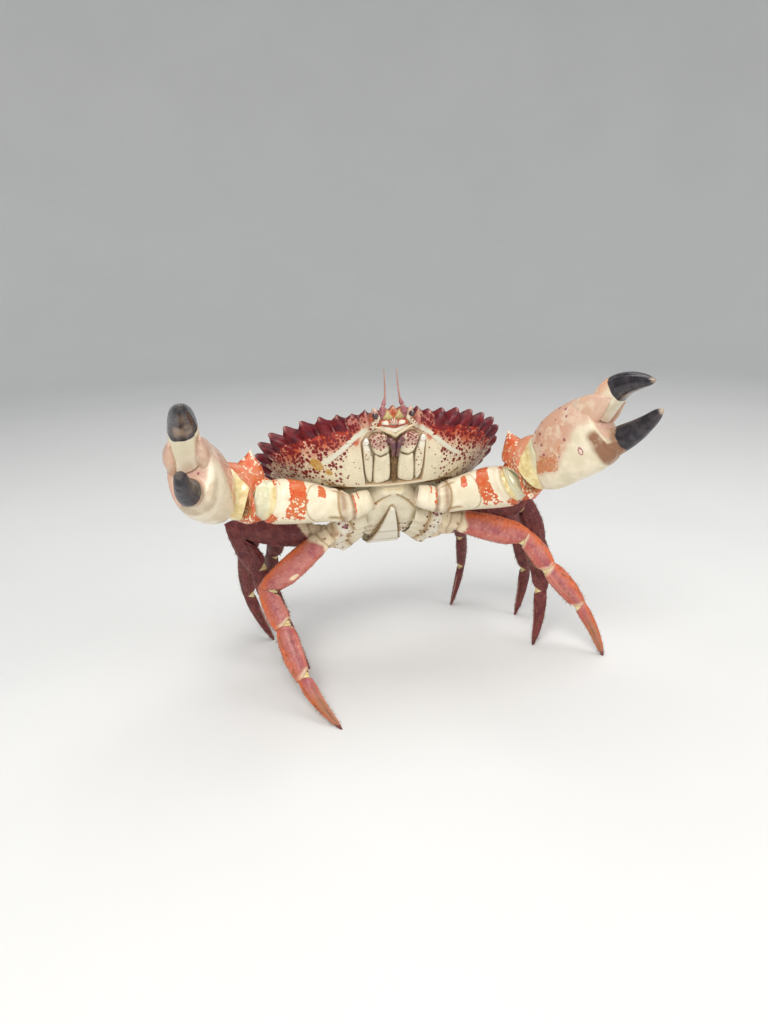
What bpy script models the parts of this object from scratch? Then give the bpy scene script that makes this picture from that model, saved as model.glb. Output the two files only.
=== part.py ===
"""Pacific rock crab, life size, reared up on its walking legs with both claws spread.

The body is measured in its own frame in millimetres: x to the crab's left, y to the
rear, z to the back of the shell. It is then pitched nose up and set on the floor.
"""

import math

import bmesh
import bpy
import numpy as np

# joints between neighbouring pieces
GAP = 0.3

# stance
PITCH = 50.0
BODY_HEIGHT = 138.0

# shell seen from above
SHELL_CENTRE = (0.0, -4.0)
FRONT_TEETH = ((0.0, -55.4), (5.2, -54.0), (10.0, -52.4))
ORBIT = (12.8, -47.2)
SIDE_TEETH = (
    (16.4, -51.3), (24.5, -47.8), (33.6, -46.4), (44.0, -43.8), (54.7, -39.2), (64.4, -33.4),
    (73.3, -26.0), (79.6, -15.6), (81.6, -3.2), (79.8, 7.2), (75.6, 15.6),
)
TOOTH_DEPTH = (1.6, 2.6, 3.6, 4.4, 4.8, 5.0, 5.2, 5.2, 4.4, 2.8, 1.6)
TOOTH_RISE = 0.55
REAR_EDGE = (
    (68.0, 24.5), (58.5, 33.5), (49.0, 40.8), (40.0, 46.2), (31.0, 50.4), (22.0, 52.4), (11.0, 53.2),
)

# shell seen from the front
SHELL_DOME = 18.0
SHELL_DEPTH = 30.0
SIDE_LIFT = 8.0
REAR_DROP = 6.0
RIM_HALF = 0.7
SHELF_Z = -21.5
CHEEK_DROP = 8.0
CHEEK_Y = (-18.0, -10.0)
SHELL_RINGS = (0.0, 0.28, 0.5, 0.68, 0.82, 0.91, 0.955, 1.0)

# mouth field, an inclined seat under the front of the shell
MOUTH_REAR = (-14.5, -23.0)
MOUTH_FRONT = (-43.0, -7.5)
MOUTH_HALF = (15.0, 19.8, 18.6, 12.0)
MOUTH_THICK = 5.0

# breastplate and leg bases
STERNUM_TOP = -22.0
STERNUM_PLAN = (
    (-13.2, 8.0), (-6.0, 13.0), (0.0, 16.5), (8.0, 20.5),
    (18.0, 22.0), (28.0, 20.5), (38.0, 16.5), (47.0, 9.5),
)
STERNUM_BOTTOM = ((-13.2, -28.5), (0.0, -32.5), (18.0, -34.0), (36.0, -32.5), (47.0, -28.0))
COXA_IN = (16.0, 0.8, 2.4)
COXA_RADIUS = 5.3
LEG_HIPS = ((34.0, 16.6, -35.4), (34.6, 30.0, -33.0), (32.6, 40.4, -31.0), (28.0, 49.2, -28.4))

# tail flap folded under the body
TAIL_PATH = ((53.6, -9.0), (54.4, -20.0), (48.5, -29.8), (34.0, -34.4), (18.0, -35.6), (2.0, -34.4))
TAIL_HALF = (12.0, 12.5, 11.5, 8.5, 5.2, 1.6)
TAIL_THICK = 1.5

# eyes and feelers
EYE_AT = (11.6, -50.6, -0.6)
EYE_RADIUS = 3.1
ANTENNA_AT = (6.3, -50.5, -3.6)
ANTENNA_LENGTH = 27.0
ANTENNULE_AT = (3.2, -50.5, -3.4)

# walking legs: length, then half thickness and half height along each article
LEG_LENGTHS = (62.0, 27.0, 35.0, 38.0)
LEG_MERUS = (
    (0.0, 4.1, 4.9), (0.09, 4.5, 5.9), (0.17, 4.2, 5.5), (0.26, 4.5, 7.0),
    (0.55, 4.9, 8.4), (0.85, 4.7, 8.0), (1.0, 3.9, 5.9),
)
LEG_CARPUS = ((0.0, 3.7, 5.4), (0.25, 4.3, 6.3), (0.7, 4.7, 7.2), (1.0, 3.9, 5.8))
LEG_PROPODUS = ((0.0, 3.6, 5.4), (0.2, 4.1, 6.7), (0.6, 4.0, 6.6), (0.9, 3.5, 5.2), (1.0, 3.0, 4.4))
LEG_DACTYL = ((0.0, 2.8, 4.1), (0.15, 3.1, 4.5), (0.5, 2.6, 3.7), (0.8, 1.9, 2.5), (1.0, 1.1, 1.3))
LEG_SIZES = (1.0, 1.04, 1.0, 0.86)
LEG_BENDS_RIGHT = ((1.34, -0.04, 0.26), (1.3, -0.04, 0.02), (0.7, 0.2, 0.3), (0.55, 0.25, 0.35))
LEG_BENDS_LEFT = ((1.11, -0.06, 0.49), (0.9, 0.2, 0.15), (0.6, 0.25, 0.3), (0.55, 0.25, 0.35))

# foot on the floor ahead of the body centre, and the side to which the knee points
FEET_RIGHT = ((-47.4, -80.8), (-56.3, -6.4), (-76.0, 42.0), (-62.0, 66.0))
FEET_LEFT = ((141.4, -42.8), (102.0, -16.0), (108.0, 32.0), (66.0, 62.0))
KNEES_RIGHT = ((-0.85, 0.41, -0.33), (-0.75, 0.21, -0.63), (-1.0, 0.7, 0.5), (-0.8, 0.7, 0.5))
KNEES_LEFT = ((0.98, 0.13, 0.15), (1.0, 0.1, 0.4), (1.0, 0.3, 0.6), (0.8, 0.7, 0.5))

# claws: lengths, then half thickness and half height
CLAW_HIP = (27.0, -5.0, -35.0)
CLAW_COXA_IN = (15.0, -6.4, -31.5)
CLAW_LENGTHS = (51.5, 30.0, 48.0, 42.0)
CLAW_COXA = ((0.0, 6.4, 6.8), (0.5, 7.2, 7.8), (1.0, 7.2, 7.8))
CLAW_MERUS = (
    (0.0, 7.2, 7.8), (0.1, 8.4, 9.8), (0.2, 8.6, 10.4), (0.27, 9.0, 10.6),
    (0.65, 11.0, 13.2), (0.9, 11.4, 13.8), (1.0, 10.2, 12.0),
)
CLAW_CARPUS = (
    (0.0, 9.8, 11.4), (0.22, 12.5, 14.6), (0.62, 13.4, 17.2), (0.88, 12.0, 16.0), (1.0, 10.0, 13.4),
)
CLAW_PALM = (
    (0.0, 9.8, 15.0), (0.08, 12.0, 18.8), (0.2, 14.0, 21.4), (0.45, 15.2, 22.5),
    (0.75, 15.2, 22.6), (0.93, 13.8, 21.0), (1.0, 12.4, 19.6),
)
FINGER_ROOT = (7.6, 8.6, -10.4)
FINGER_TIP = (2.8, 2.6, -8.5)
FINGER_INWARD = 8.0
HINGE_RISE = 10.6
FINGER_LENGTH = 39.0
DACTYL_BOW = 6.2
CLAW_DACTYL = (
    (0.0, 8.2, 9.0), (0.18, 8.6, 9.0), (0.45, 7.6, 7.4),
    (0.75, 5.6, 5.4), (0.92, 3.5, 3.4), (1.0, 1.3, 1.3),
)
SPINE = ((0.0, 7.6, 8.6), (0.5, 4.9, 5.4), (0.85, 2.0, 2.1), (1.0, 0.7, 0.7))
SPINE_RISE = 15.0

# heading to the side of straight ahead and rise above level of each claw article, in degrees
AIM_RIGHT = ((-89.4, 10.1), (-95.0, 17.6), (-19.3, 26.0), (0.0, 47.9))
AIM_LEFT = ((90.3, 5.4), (35.1, 43.1), (35.9, 32.1), (19.8, 29.6))
ROLL_RIGHT = (-0.056, 0.474, 0.879)
ROLL_LEFT = (-0.143, 0.54, 0.829)

# the wrist joint leans over the palm above and reaches back below
WRIST_SLANT = 0.5
WRIST_SET = 3.0


def stand(p):
    """Body frame to the standing frame, floor at z = 0."""
    c = math.cos(math.radians(PITCH))
    s = math.sin(math.radians(PITCH))
    p = np.asarray(p, float)
    x, y, z = p[..., 0], p[..., 1], p[..., 2]
    return np.stack([x, y * c + z * s, -y * s + z * c + BODY_HEIGHT], axis=-1)


def unit(v):
    v = np.asarray(v, float)
    return v / np.linalg.norm(v)


def aim(heading, rise):
    h = math.radians(heading)
    r = math.radians(rise)
    return np.array([math.sin(h) * math.cos(r), -math.cos(h) * math.cos(r), math.sin(r)])


def ease(a, b, x):
    t = np.clip((np.asarray(x, float) - a) / (b - a), 0.0, 1.0)
    return t * t * (3.0 - 2.0 * t)


def along(table, t):
    """Smoothly interpolated row of a table whose first column runs upwards."""
    rows = np.asarray(table, float)
    xs = rows[:, 0]
    i = int(np.clip(np.searchsorted(xs, t) - 1, 0, len(xs) - 2))
    u = float(np.clip((t - xs[i]) / (xs[i + 1] - xs[i]), 0.0, 1.0))
    a = rows[i, 1:]
    b = rows[i + 1, 1:]
    prior = rows[max(i - 1, 0), 1:]
    after = rows[min(i + 2, len(xs) - 1), 1:]
    square = (2 * prior - 5 * a + 4 * b - after) * u ** 2
    cube = (3 * a - prior - 3 * b + after) * u ** 3
    bent = 0.5 * (2 * a + (b - prior) * u + square + cube)
    return 0.35 * (a + (b - a) * u) + 0.65 * bent


def material(name, colour, roughness, metallic=0.0):
    mat = bpy.data.materials.new(name)
    mat.use_nodes = True
    shader = mat.node_tree.nodes["Principled BSDF"]
    shader.inputs["Base Color"].default_value = (*colour, 1.0)
    shader.inputs["Roughness"].default_value = roughness
    shader.inputs["Metallic"].default_value = metallic
    return mat


def make(name, verts, faces, mat=None):
    """One object from points in millimetres in the standing frame."""
    mesh = bpy.data.meshes.new(name)
    mesh.from_pydata([tuple(float(c) * 0.001 for c in v) for v in verts], [], faces)
    bm = bmesh.new()
    bm.from_mesh(mesh)
    bmesh.ops.remove_doubles(bm, verts=bm.verts, dist=1e-6)
    bmesh.ops.triangulate(bm, faces=[f for f in bm.faces if len(f.verts) > 4])
    bmesh.ops.recalc_face_normals(bm, faces=bm.faces)
    if bm.calc_volume(signed=True) < 0:
        bmesh.ops.reverse_faces(bm, faces=bm.faces)
    bm.to_mesh(mesh)
    bm.free()
    mesh.polygons.foreach_set("use_smooth", [True] * len(mesh.polygons))
    obj = bpy.data.objects.new(name, mesh)
    bpy.context.scene.collection.objects.link(obj)
    if mat is not None:
        mesh.materials.append(mat)
    return obj


def tube(rings, closed_ends=True):
    """Verts and faces of a skin over equal rings, closed by fans at both ends."""
    n = len(rings[0])
    verts = [p for ring in rings for p in ring]
    faces = []
    for i in range(len(rings) - 1):
        for k in range(n):
            m = (k + 1) % n
            faces.append((i * n + k, i * n + m, (i + 1) * n + m, (i + 1) * n + k))
    if closed_ends:
        for i in (0, len(rings) - 1):
            centre = np.mean(rings[i], axis=0)
            verts.append(centre)
            c = len(verts) - 1
            for k in range(n):
                faces.append((i * n + k, i * n + (k + 1) % n, c))
    return verts, faces


def article(
    a, b, high, table, start=None, end=None, sides=10, square=2.3, steps=6, bow=0.0, grow=0.0, fade=1
):
    """Limb piece from a to b.

    high is the side its height runs along, start and end are the joint faces (point, normal),
    bow lifts the middle of the piece towards high, and a larger fade squares its rings up
    sooner behind a slanted start.
    """
    a = np.asarray(a, float)
    b = np.asarray(b, float)
    length = np.linalg.norm(b - a)
    axis = (b - a) / length
    up = unit(np.asarray(high, float) - axis * np.dot(high, axis))
    side = np.cross(up, axis)
    s_pt, s_n = start if start is not None else (a, axis)
    e_pt, e_n = end if end is not None else (b, axis)
    merged = sorted({0.0, 1.0} | {row[0] for row in table})
    for t in [i / steps for i in range(1, steps)]:
        if min(abs(t - m) for m in merged) > 0.45 / steps:
            merged.append(t)
    merged.sort()
    rings = []
    for t in merged:
        row = along(table, t)
        w = row[0] + grow
        h = row[1] + grow
        cw = row[2] if len(row) > 2 else 0.0
        ch = row[3] if len(row) > 3 else 0.0
        lift = bow * math.sin(math.pi * t)
        ring = []
        for k in range(sides):
            q = 2.0 * math.pi * (k + 0.5) / sides
            cq = math.cos(q)
            sq = math.sin(q)
            x = cw + w * math.copysign(abs(cq) ** (2.0 / square), cq)
            y = ch + lift + h * math.copysign(abs(sq) ** (2.0 / square), sq)
            off = side * x + up * y
            p = a + off
            lo = np.dot(s_pt - p, s_n) / np.dot(axis, s_n)
            hi = np.dot(e_pt - p, e_n) / np.dot(axis, e_n)
            ring.append(p + axis * (lo * (1.0 - t) ** fade + hi * t))
        rings.append(ring)
    return tube(rings)


def boolean(obj, tools, operation="UNION", solver="EXACT", keep_tools=False):
    """Joins or cuts with a whole collection of closed pieces, then applies the result."""
    group = bpy.data.collections.new("tools")
    bpy.context.scene.collection.children.link(group)
    for t in tools:
        for c in list(t.users_collection):
            c.objects.unlink(t)
        group.objects.link(t)
    mod = obj.modifiers.new("join", "BOOLEAN")
    mod.operation = operation
    mod.operand_type = "COLLECTION"
    mod.collection = group
    mod.solver = solver
    depsgraph = bpy.context.evaluated_depsgraph_get()
    done = bpy.data.meshes.new_from_object(obj.evaluated_get(depsgraph))
    obj.modifiers.remove(mod)
    obj.data = done
    for t in list(group.objects):
        bpy.data.objects.remove(t)
    bpy.data.collections.remove(group)
    largest(obj)


def largest(obj):
    """Keeps only the largest closed surface of an object."""
    bm = bmesh.new()
    bm.from_mesh(obj.data)
    bm.faces.ensure_lookup_table()
    left = set(bm.faces)
    shells = []
    while left:
        seed = left.pop()
        shell = [seed]
        queue = [seed]
        while queue:
            f = queue.pop()
            for e in f.edges:
                for g in e.link_faces:
                    if g in left:
                        left.remove(g)
                        shell.append(g)
                        queue.append(g)
        shells.append(shell)
    shells.sort(key=len)
    for shell in shells[:-1]:
        bmesh.ops.delete(bm, geom=shell, context="FACES")
    loose = [v for v in bm.verts if not v.link_faces]
    bmesh.ops.delete(bm, geom=loose, context="VERTS")
    bm.to_mesh(obj.data)
    bm.free()
    obj.data.polygons.foreach_set("use_smooth", [True] * len(obj.data.polygons))


def half_rim():
    """Right-hand margin of the shell from the front tooth to the rear, teeth curved forward."""
    points = [np.array(FRONT_TEETH[0])]
    for i in range(1, len(FRONT_TEETH)):
        a = np.array(FRONT_TEETH[i - 1])
        b = np.array(FRONT_TEETH[i])
        points.append((a + b) / 2 + np.array([0.0, 1.7]))
        points.append(b)
    points.append(np.array([11.4, -49.2]))
    points.append(np.array(ORBIT))
    points.append(np.array([14.6, -48.6]))
    centre = np.array(SHELL_CENTRE)
    for i, tip in enumerate(SIDE_TEETH):
        tip = np.array(tip)
        points.append(tip)
        after = np.array(SIDE_TEETH[i + 1]) if i + 1 < len(SIDE_TEETH) else np.array(REAR_EDGE[0])
        out = unit((tip + after) / 2 - centre)
        depth = TOOTH_DEPTH[i]
        valley = tip + (after - tip) * 0.72 - out * depth
        points.append(tip + (valley - tip) * 0.45 + out * depth * 0.22)
        points.append(valley)
        if i + 1 < len(SIDE_TEETH):
            points.append(valley + (after - valley) * 0.55 - out * depth * 0.12)
    for p in REAR_EDGE:
        points.append(np.array(p))
    points.append(np.array([0.0, 53.4]))
    return points


def rim_loops():
    """Toothed margin and the smooth line that runs inside it, both all the way round."""
    half = half_rim()
    toothed = half + [np.array([-p[0], p[1]]) for p in reversed(half[1:-1])]
    toothed = np.array(toothed)
    n = len(toothed)
    smooth = toothed.copy()
    for _ in range(10):
        smooth = 0.5 * smooth + 0.25 * (np.roll(smooth, 1, axis=0) + np.roll(smooth, -1, axis=0))
    centre = np.array(SHELL_CENTRE)
    smooth = centre + (smooth - centre) * 0.985
    assert len(smooth) == n
    return toothed, smooth


def rim_height(x, y):
    lift = SIDE_LIFT * (abs(x) / 80.0) ** 1.4
    return lift - REAR_DROP * float(ease(0.0, 52.0, y))


def back_height(r, x, y):
    """Upper surface: a low dome with the stomach, gill and heart regions swollen."""
    base = rim_height(x, y) * r ** 2 + SHELL_DOME * (1.0 - r ** 2.4) ** 0.85
    swell = 1.6 * math.exp(-((x / 20.0) ** 2 + ((y + 22.0) / 16.0) ** 2))
    swell += 1.2 * math.exp(-(((abs(x) - 40.0) / 18.0) ** 2 + ((y - 6.0) / 20.0) ** 2))
    swell += 1.0 * math.exp(-((x / 13.0) ** 2 + ((y - 22.0) / 10.0) ** 2))
    return base + swell * float(ease(1.0, 0.8, r))


def belly_height(r, x, y):
    """Lower surface: cheeks beside the mouth and a shelf over the leg bases."""
    flank = rim_height(x, y) * r ** 2 - SHELL_DEPTH * (1.0 - r ** 2.2)
    shelf = SHELF_Z - CHEEK_DROP * float(ease(CHEEK_Y[1], CHEEK_Y[0], y))
    return max(flank, shelf)


def shell_body():
    toothed, smooth = rim_loops()
    n = len(toothed)
    centre = np.array(SHELL_CENTRE)
    outward = [np.dot(t - s, unit(s - centre)) for t, s in zip(toothed, smooth)]
    rings = []
    for upper in (True, False):
        order = SHELL_RINGS[1:] if upper else SHELL_RINGS[:0:-1]
        for r in order:
            blend = float(ease(0.89, 1.0, r))
            ring = []
            for k in range(n):
                rim = smooth[k] + (toothed[k] - smooth[k]) * blend
                x, y = centre + (rim - centre) * r
                raised = TOOTH_RISE * blend * max(0.0, outward[k])
                if upper:
                    z = back_height(r, x, y) + RIM_HALF + raised
                else:
                    z = belly_height(r, x, y) - RIM_HALF + raised
                ring.append((x, y, z))
            rings.append(ring)
    verts, faces = tube(rings, closed_ends=False)
    top = len(verts)
    verts.append((*centre, back_height(0.0, *centre) + RIM_HALF))
    verts.append((*centre, belly_height(0.0, *centre) - RIM_HALF))
    last = (len(rings) - 1) * n
    for k in range(n):
        m = (k + 1) % n
        faces.append((m, k, top))
        faces.append((last + k, last + m, top + 1))
    return stand(verts), faces


def mouth_frame():
    """Point, direction along the mouth field to the front, and its outward normal."""
    rear = np.array([0.0, *MOUTH_REAR])
    front = np.array([0.0, *MOUTH_FRONT])
    run = unit(front - rear)
    normal = np.cross(run, np.array([1.0, 0.0, 0.0]))
    if normal[2] > 0:
        normal = -normal
    return rear, run, np.linalg.norm(front - rear), normal


def plate(outline, low, high, name, mat=None, dish=0.0):
    """Flat piece on the mouth field: outline in (x, run) and its two heights off the seat."""
    rear, run, _, normal = mouth_frame()
    pts = np.asarray(outline, float)
    mid = pts.mean(axis=0)
    rings = []
    for shrink, h in ((0.0, low), (0.0, high - 0.5), (0.14, high)):
        ring = []
        for p in pts:
            q = p + (mid - p) * shrink
            ring.append(rear + np.array([q[0], 0, 0]) + run * q[1] + normal * h)
        rings.append(ring)
    verts, faces = tube(rings)
    verts[-1] = verts[-1] + normal * dish
    return make(name, stand(verts), faces, mat)


def mouth_cutter():
    w = MOUTH_HALF
    length = mouth_frame()[2]
    line = [(w[0], 0.0), (w[1], length * 0.55), (w[2], length * 0.9), (w[3], length)]
    outline = line + [(-x, s) for x, s in reversed(line)]
    return plate(outline, 0.0, 30.0, "mouth_cut")


def mouthpart(side, mat):
    """Third jaw-foot of one side: seat, two plates, outer strip and palp."""
    length = mouth_frame()[2]
    name = "maxilliped_right" if side < 0 else "maxilliped_left"
    w = [v - GAP for v in MOUTH_HALF]
    base = [(GAP / 2, GAP), (w[0], GAP), (w[1], length * 0.55), (w[2], length * 0.9)]
    base += [(w[3], length - GAP), (GAP / 2, length - GAP)]
    seat = plate([(side * x, s) for x, s in base], GAP, 2.4, name, mat)
    parts = []
    ischium = [(1.6, 1.6), (7.0, 0.9), (10.2, 3.4), (11.4, 12.0), (11.0, 17.2), (2.6, 17.2)]
    merus = [(2.8, 18.2), (11.2, 18.2), (12.0, 22.0), (11.4, 26.6), (7.0, 29.0), (3.4, 27.0)]
    strip = [(12.2, 2.2), (14.0, 4.0), (17.6, 14.0), (18.0, 21.4), (16.4, 24.0), (13.6, 23.0), (12.9, 12.4)]
    palp = [(0.9, 21.4), (2.2, 20.0), (3.2, 23.0), (4.4, 28.4), (3.2, 30.4), (1.6, 27.6)]
    heights = ((ischium, 5.0, 0.7), (merus, 5.4, 0.8), (strip, 4.4, 0.5), (palp, 6.2, 0.5))
    for outline, high, dish in heights:
        parts.append(plate([(side * x, s) for x, s in outline], 1.0, high, "bit", None, dish))
    boolean(seat, parts)
    return seat


STERNUM_SECTION = (
    (-1.0, 0.0), (-1.0, 0.55), (-0.72, 0.9), (-0.3, 1.0), (0.3, 1.0),
    (0.72, 0.9), (1.0, 0.55), (1.0, 0.0), (0.4, 0.0), (-0.4, 0.0),
)
COXA_TABLE = ((0.0, 4.6, 4.6), (0.6, COXA_RADIUS, COXA_RADIUS), (1.0, 4.5, 5.2))


def sternum_body(mat):
    """Breastplate with the eight leg bases joined on."""
    rings = []
    stops = [-13.2, -6.0, 0.0, 8.0, 18.0, 28.0, 38.0, 47.0]
    for y in stops:
        half = along(STERNUM_PLAN, y)[0]
        low = along(STERNUM_BOTTOM, y)[0]
        top = STERNUM_TOP - GAP
        ring = []
        for f, g in STERNUM_SECTION:
            ring.append((half * f, y, top + (low - top) * g))
        rings.append(ring)
    verts, faces = tube(rings)
    body = make("sternum", stand(verts), faces, mat)
    coxae = []
    for side in (-1.0, 1.0):
        for hip, first in zip(LEG_HIPS, leg_starts(side)):
            out = stand((side * hip[0], hip[1], hip[2]))
            inner = coxa_root(side, hip)
            face = (out, unit(first + unit(out - inner)))
            verts, faces = article(inner, out, (0, 0, 1), COXA_TABLE, end=face, steps=2)
            coxae.append(make("coxa", verts, faces))
    boolean(body, coxae)
    return body


def coxa_root(side, hip):
    x, along_body, rise = COXA_IN
    return stand((side * x, hip[1] * along_body, hip[2] + rise))


def leg_joints(side, i):
    """Joint points of one walking leg, bent evenly until it reaches its foot."""
    hip = stand((side * LEG_HIPS[i][0], LEG_HIPS[i][1], LEG_HIPS[i][2]))
    foot = (FEET_RIGHT if side < 0 else FEET_LEFT)[i]
    foot = np.array([foot[0], foot[1], 0.0])
    knee = (KNEES_RIGHT if side < 0 else KNEES_LEFT)[i]
    lengths = [v * LEG_SIZES[i] for v in LEG_LENGTHS]
    reach = np.linalg.norm(foot - hip)
    line = (foot - hip) / reach
    out = unit(np.asarray(knee) - line * np.dot(knee, line))
    turns = np.concatenate([[0.0], -np.cumsum((LEG_BENDS_RIGHT if side < 0 else LEG_BENDS_LEFT)[i])])
    low, high = 0.0, 3.0
    for _ in range(50):
        mid = (low + high) / 2
        x = sum(v * math.cos(mid * t) for v, t in zip(lengths, turns))
        y = sum(v * math.sin(mid * t) for v, t in zip(lengths, turns))
        if math.hypot(x, y) > reach:
            low = mid
        else:
            high = mid
    start = -math.atan2(y, x)
    points = [hip]
    for v, t in zip(lengths, turns):
        q = start + mid * t
        points.append(points[-1] + v * (line * math.cos(q) + out * math.sin(q)))
    return points, out


def leg_starts(side):
    starts = []
    for i in range(4):
        points, _ = leg_joints(side, i)
        starts.append(unit(points[1] - points[0]))
    return starts


def walking_leg(side, i, mats):
    points, out = leg_joints(side, i)
    word = "right" if side < 0 else "left"
    size = LEG_SIZES[i]
    hip = points[0]
    inner = coxa_root(side, LEG_HIPS[i])
    first = unit(hip - inner)
    dirs = [first] + [unit(points[k + 1] - points[k]) for k in range(4)] + [np.array([0, 0, -1.0])]
    tables = (LEG_MERUS, LEG_CARPUS, LEG_PROPODUS, LEG_DACTYL)
    names = ("merus", "carpus", "propodus", "dactyl")
    steps = (6, 3, 4, 5)
    for k in range(4):
        n0 = unit(dirs[k] + dirs[k + 1])
        n1 = unit(dirs[k + 1] + dirs[k + 2]) if k < 3 else np.array([0, 0, -1.0])
        start = (points[k] + n0 * GAP / 2, n0)
        end = (points[k + 1] - n1 * (GAP / 2 if k < 3 else 0.0), n1)
        table = [(t, w * size, h * size) for t, w, h in tables[k]]
        bow = 1.5 if k == 3 else 0.8
        verts, faces = article(points[k], points[k + 1], out, table, start, end, steps=steps[k], bow=bow)
        make(f"leg{i + 1}_{names[k]}_{word}", verts, faces, mats[k])


def carpus_spine(a, b, roll, inward, obj):
    """Stout tooth at the upper inner corner of the wrist piece."""
    axis = unit(b - a)
    up = unit(roll - axis * np.dot(roll, axis))
    root = a + axis * CLAW_LENGTHS[1] * 0.66 + up * (CLAW_CARPUS[2][2] - 5.0) + inward * 4.0
    tip = root + up * SPINE_RISE + axis * 4.0 + inward * 1.5
    verts, faces = article(root, tip, axis, SPINE, sides=8, steps=3)
    boolean(obj, [make("spine", verts, faces)])


def claw_joints(side):
    aims = AIM_RIGHT if side < 0 else AIM_LEFT
    points = [stand((side * CLAW_HIP[0], CLAW_HIP[1], CLAW_HIP[2]))]
    for k in range(3):
        points.append(points[-1] + aim(*aims[k]) * CLAW_LENGTHS[k])
    roll = np.array(ROLL_RIGHT if side < 0 else ROLL_LEFT)
    return points, roll, aims


def claw_faces(side, chain):
    """Point and normal of the joint faces at the hip, the elbow and the wrist."""
    dirs = [unit(chain[k + 1] - chain[k]) for k in range(3)]
    _, roll, aims = claw_joints(side)
    dirs.append(aim(*aims[2]))
    faces = [(chain[k], unit(dirs[k - 1] + dirs[k])) for k in (1, 2)]
    high = unit(roll - dirs[3] * np.dot(roll, dirs[3]))
    wrist = unit(unit(dirs[2] + dirs[3]) - high * WRIST_SLANT)
    faces.append((chain[3] - dirs[3] * WRIST_SET, wrist))
    return faces


def coxa_cutter(side):
    """The first claw piece, larger by the gap, to seat it in its neighbours."""
    points, _, aims = claw_joints(side)
    inner = stand((side * CLAW_COXA_IN[0], CLAW_COXA_IN[1], CLAW_COXA_IN[2]))
    out = unit(points[0] - inner)
    up = np.array([0.0, 0.3, 1.0])
    start = inner - out * GAP
    end = points[0] + out * 6.0
    verts, faces = article(start, end, up, CLAW_COXA, sides=12, steps=2, grow=GAP * 1.1)
    return make("coxa_cut", verts, faces)


def finger_rows(inward):
    """Palm table followed by the fixed finger, as one run from the wrist to the tip."""
    palm = CLAW_LENGTHS[2]
    total = palm + FINGER_LENGTH
    rows = [(t * palm / total, w, h, 0.0, 0.0) for t, w, h in CLAW_PALM]
    w0, h0, c0 = FINGER_ROOT
    w1, h1, c1 = FINGER_TIP
    for f in (0.01, 0.25, 0.5, 0.75, 0.92, 1.0):
        t = (palm + f * FINGER_LENGTH) / total
        k = f ** 1.15
        curve = -2.6 * math.sin(math.pi * min(f, 1.0)) * 0.6
        taper = 1.0 if f < 1.0 else 0.72
        w = (w0 + (w1 - w0) * k) * taper
        h = (h0 + (h1 - h0) * k) * taper
        rows.append((t, w, h, inward * FINGER_INWARD * f ** 1.4, c0 + (c1 - c0) * f + curve))
    return rows, total


def claw(side, mats):
    points, roll, aims = claw_joints(side)
    word = "right" if side < 0 else "left"
    inner = stand((side * CLAW_COXA_IN[0], CLAW_COXA_IN[1], CLAW_COXA_IN[2]))
    joints = claw_faces(side, [inner] + points)
    up = np.array([0.0, 0.3, 1.0])
    coxa_end = (joints[0][0] - joints[0][1] * GAP / 2, joints[0][1])
    verts, faces = article(inner, points[0], up, CLAW_COXA, end=coxa_end, sides=12, steps=2)
    make(f"claw_coxa_{word}", verts, faces, mats[0])
    tables = (CLAW_MERUS, CLAW_CARPUS)
    for k, (part, table) in enumerate(zip(("merus", "carpus"), tables)):
        n0 = joints[k][1]
        n1 = joints[k + 1][1]
        start = (joints[k][0] + n0 * GAP / 2, n0)
        end = (joints[k + 1][0] - n1 * GAP / 2, n1)
        high = up if k == 0 else roll
        a, b = points[k], points[k + 1]
        verts, faces = article(a, b, high, table, start, end, sides=14, steps=6, bow=0.8)
        piece = make(f"claw_{part}_{word}", verts, faces, mats[k + 1])
        if k == 1:
            carpus_spine(a, b, roll, np.array([-side * 0.9, -0.4, 0.0]), piece)
    rows, total = finger_rows(-side)
    n0 = joints[2][1]
    start = (joints[2][0] + n0 * GAP / 2, n0)
    base = points[2]
    axis = unit(points[3] - points[2])
    tip = base + axis * total
    verts, faces = article(base, tip, roll, rows, start, None, sides=16, steps=14, square=2.25, fade=3)
    palm = make(f"claw_palm_{word}", verts, faces, mats[3])
    high = unit(roll - axis * np.dot(roll, axis))
    hinge = base + axis * (CLAW_LENGTHS[2] + 1.2) + high * HINGE_RISE
    swing = unit(aim(*aims[3]))
    tip = hinge + swing * CLAW_LENGTHS[3]
    start = (hinge + axis * GAP, axis)
    verts, faces = article(hinge, tip, high, CLAW_DACTYL, start, None, sides=14, steps=8, bow=DACTYL_BOW)
    finger = make(f"claw_dactyl_{word}", verts, faces, mats[4])
    claw_teeth(side, palm, finger, base, axis, high, hinge, swing)
    return palm, finger


def claw_teeth(side, palm, finger, base, axis, high, hinge, swing):
    """Blunt crushing teeth along the facing edges of the two fingers."""
    knobs = []
    for i in range(5):
        f = 0.16 + i * 0.15
        size = 2.4 - 0.28 * i
        at = base + axis * (CLAW_LENGTHS[2] + f * FINGER_LENGTH)
        at = at + np.cross(high, axis) * (-side * FINGER_INWARD * f ** 1.4)
        middle = FINGER_ROOT[2] + (FINGER_TIP[2] - FINGER_ROOT[2]) * f
        at = at + high * (middle + FINGER_ROOT[1] * (1 - f) ** 0.8 - 1.5)
        knobs.append(knob(at, axis, high, size, size * 1.3))
    boolean(palm, knobs)
    knobs = []
    down = unit(-high + swing * np.dot(high, swing))
    for i in range(5):
        f = 0.22 + i * 0.14
        size = 2.2 - 0.26 * i
        row = along(CLAW_DACTYL, f)
        drop = row[1] - DACTYL_BOW * math.sin(math.pi * f) - 0.6
        at = hinge + swing * (f * CLAW_LENGTHS[3]) + down * drop
        knobs.append(knob(at, swing, down, size, size * 1.3))
    boolean(finger, knobs)


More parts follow.
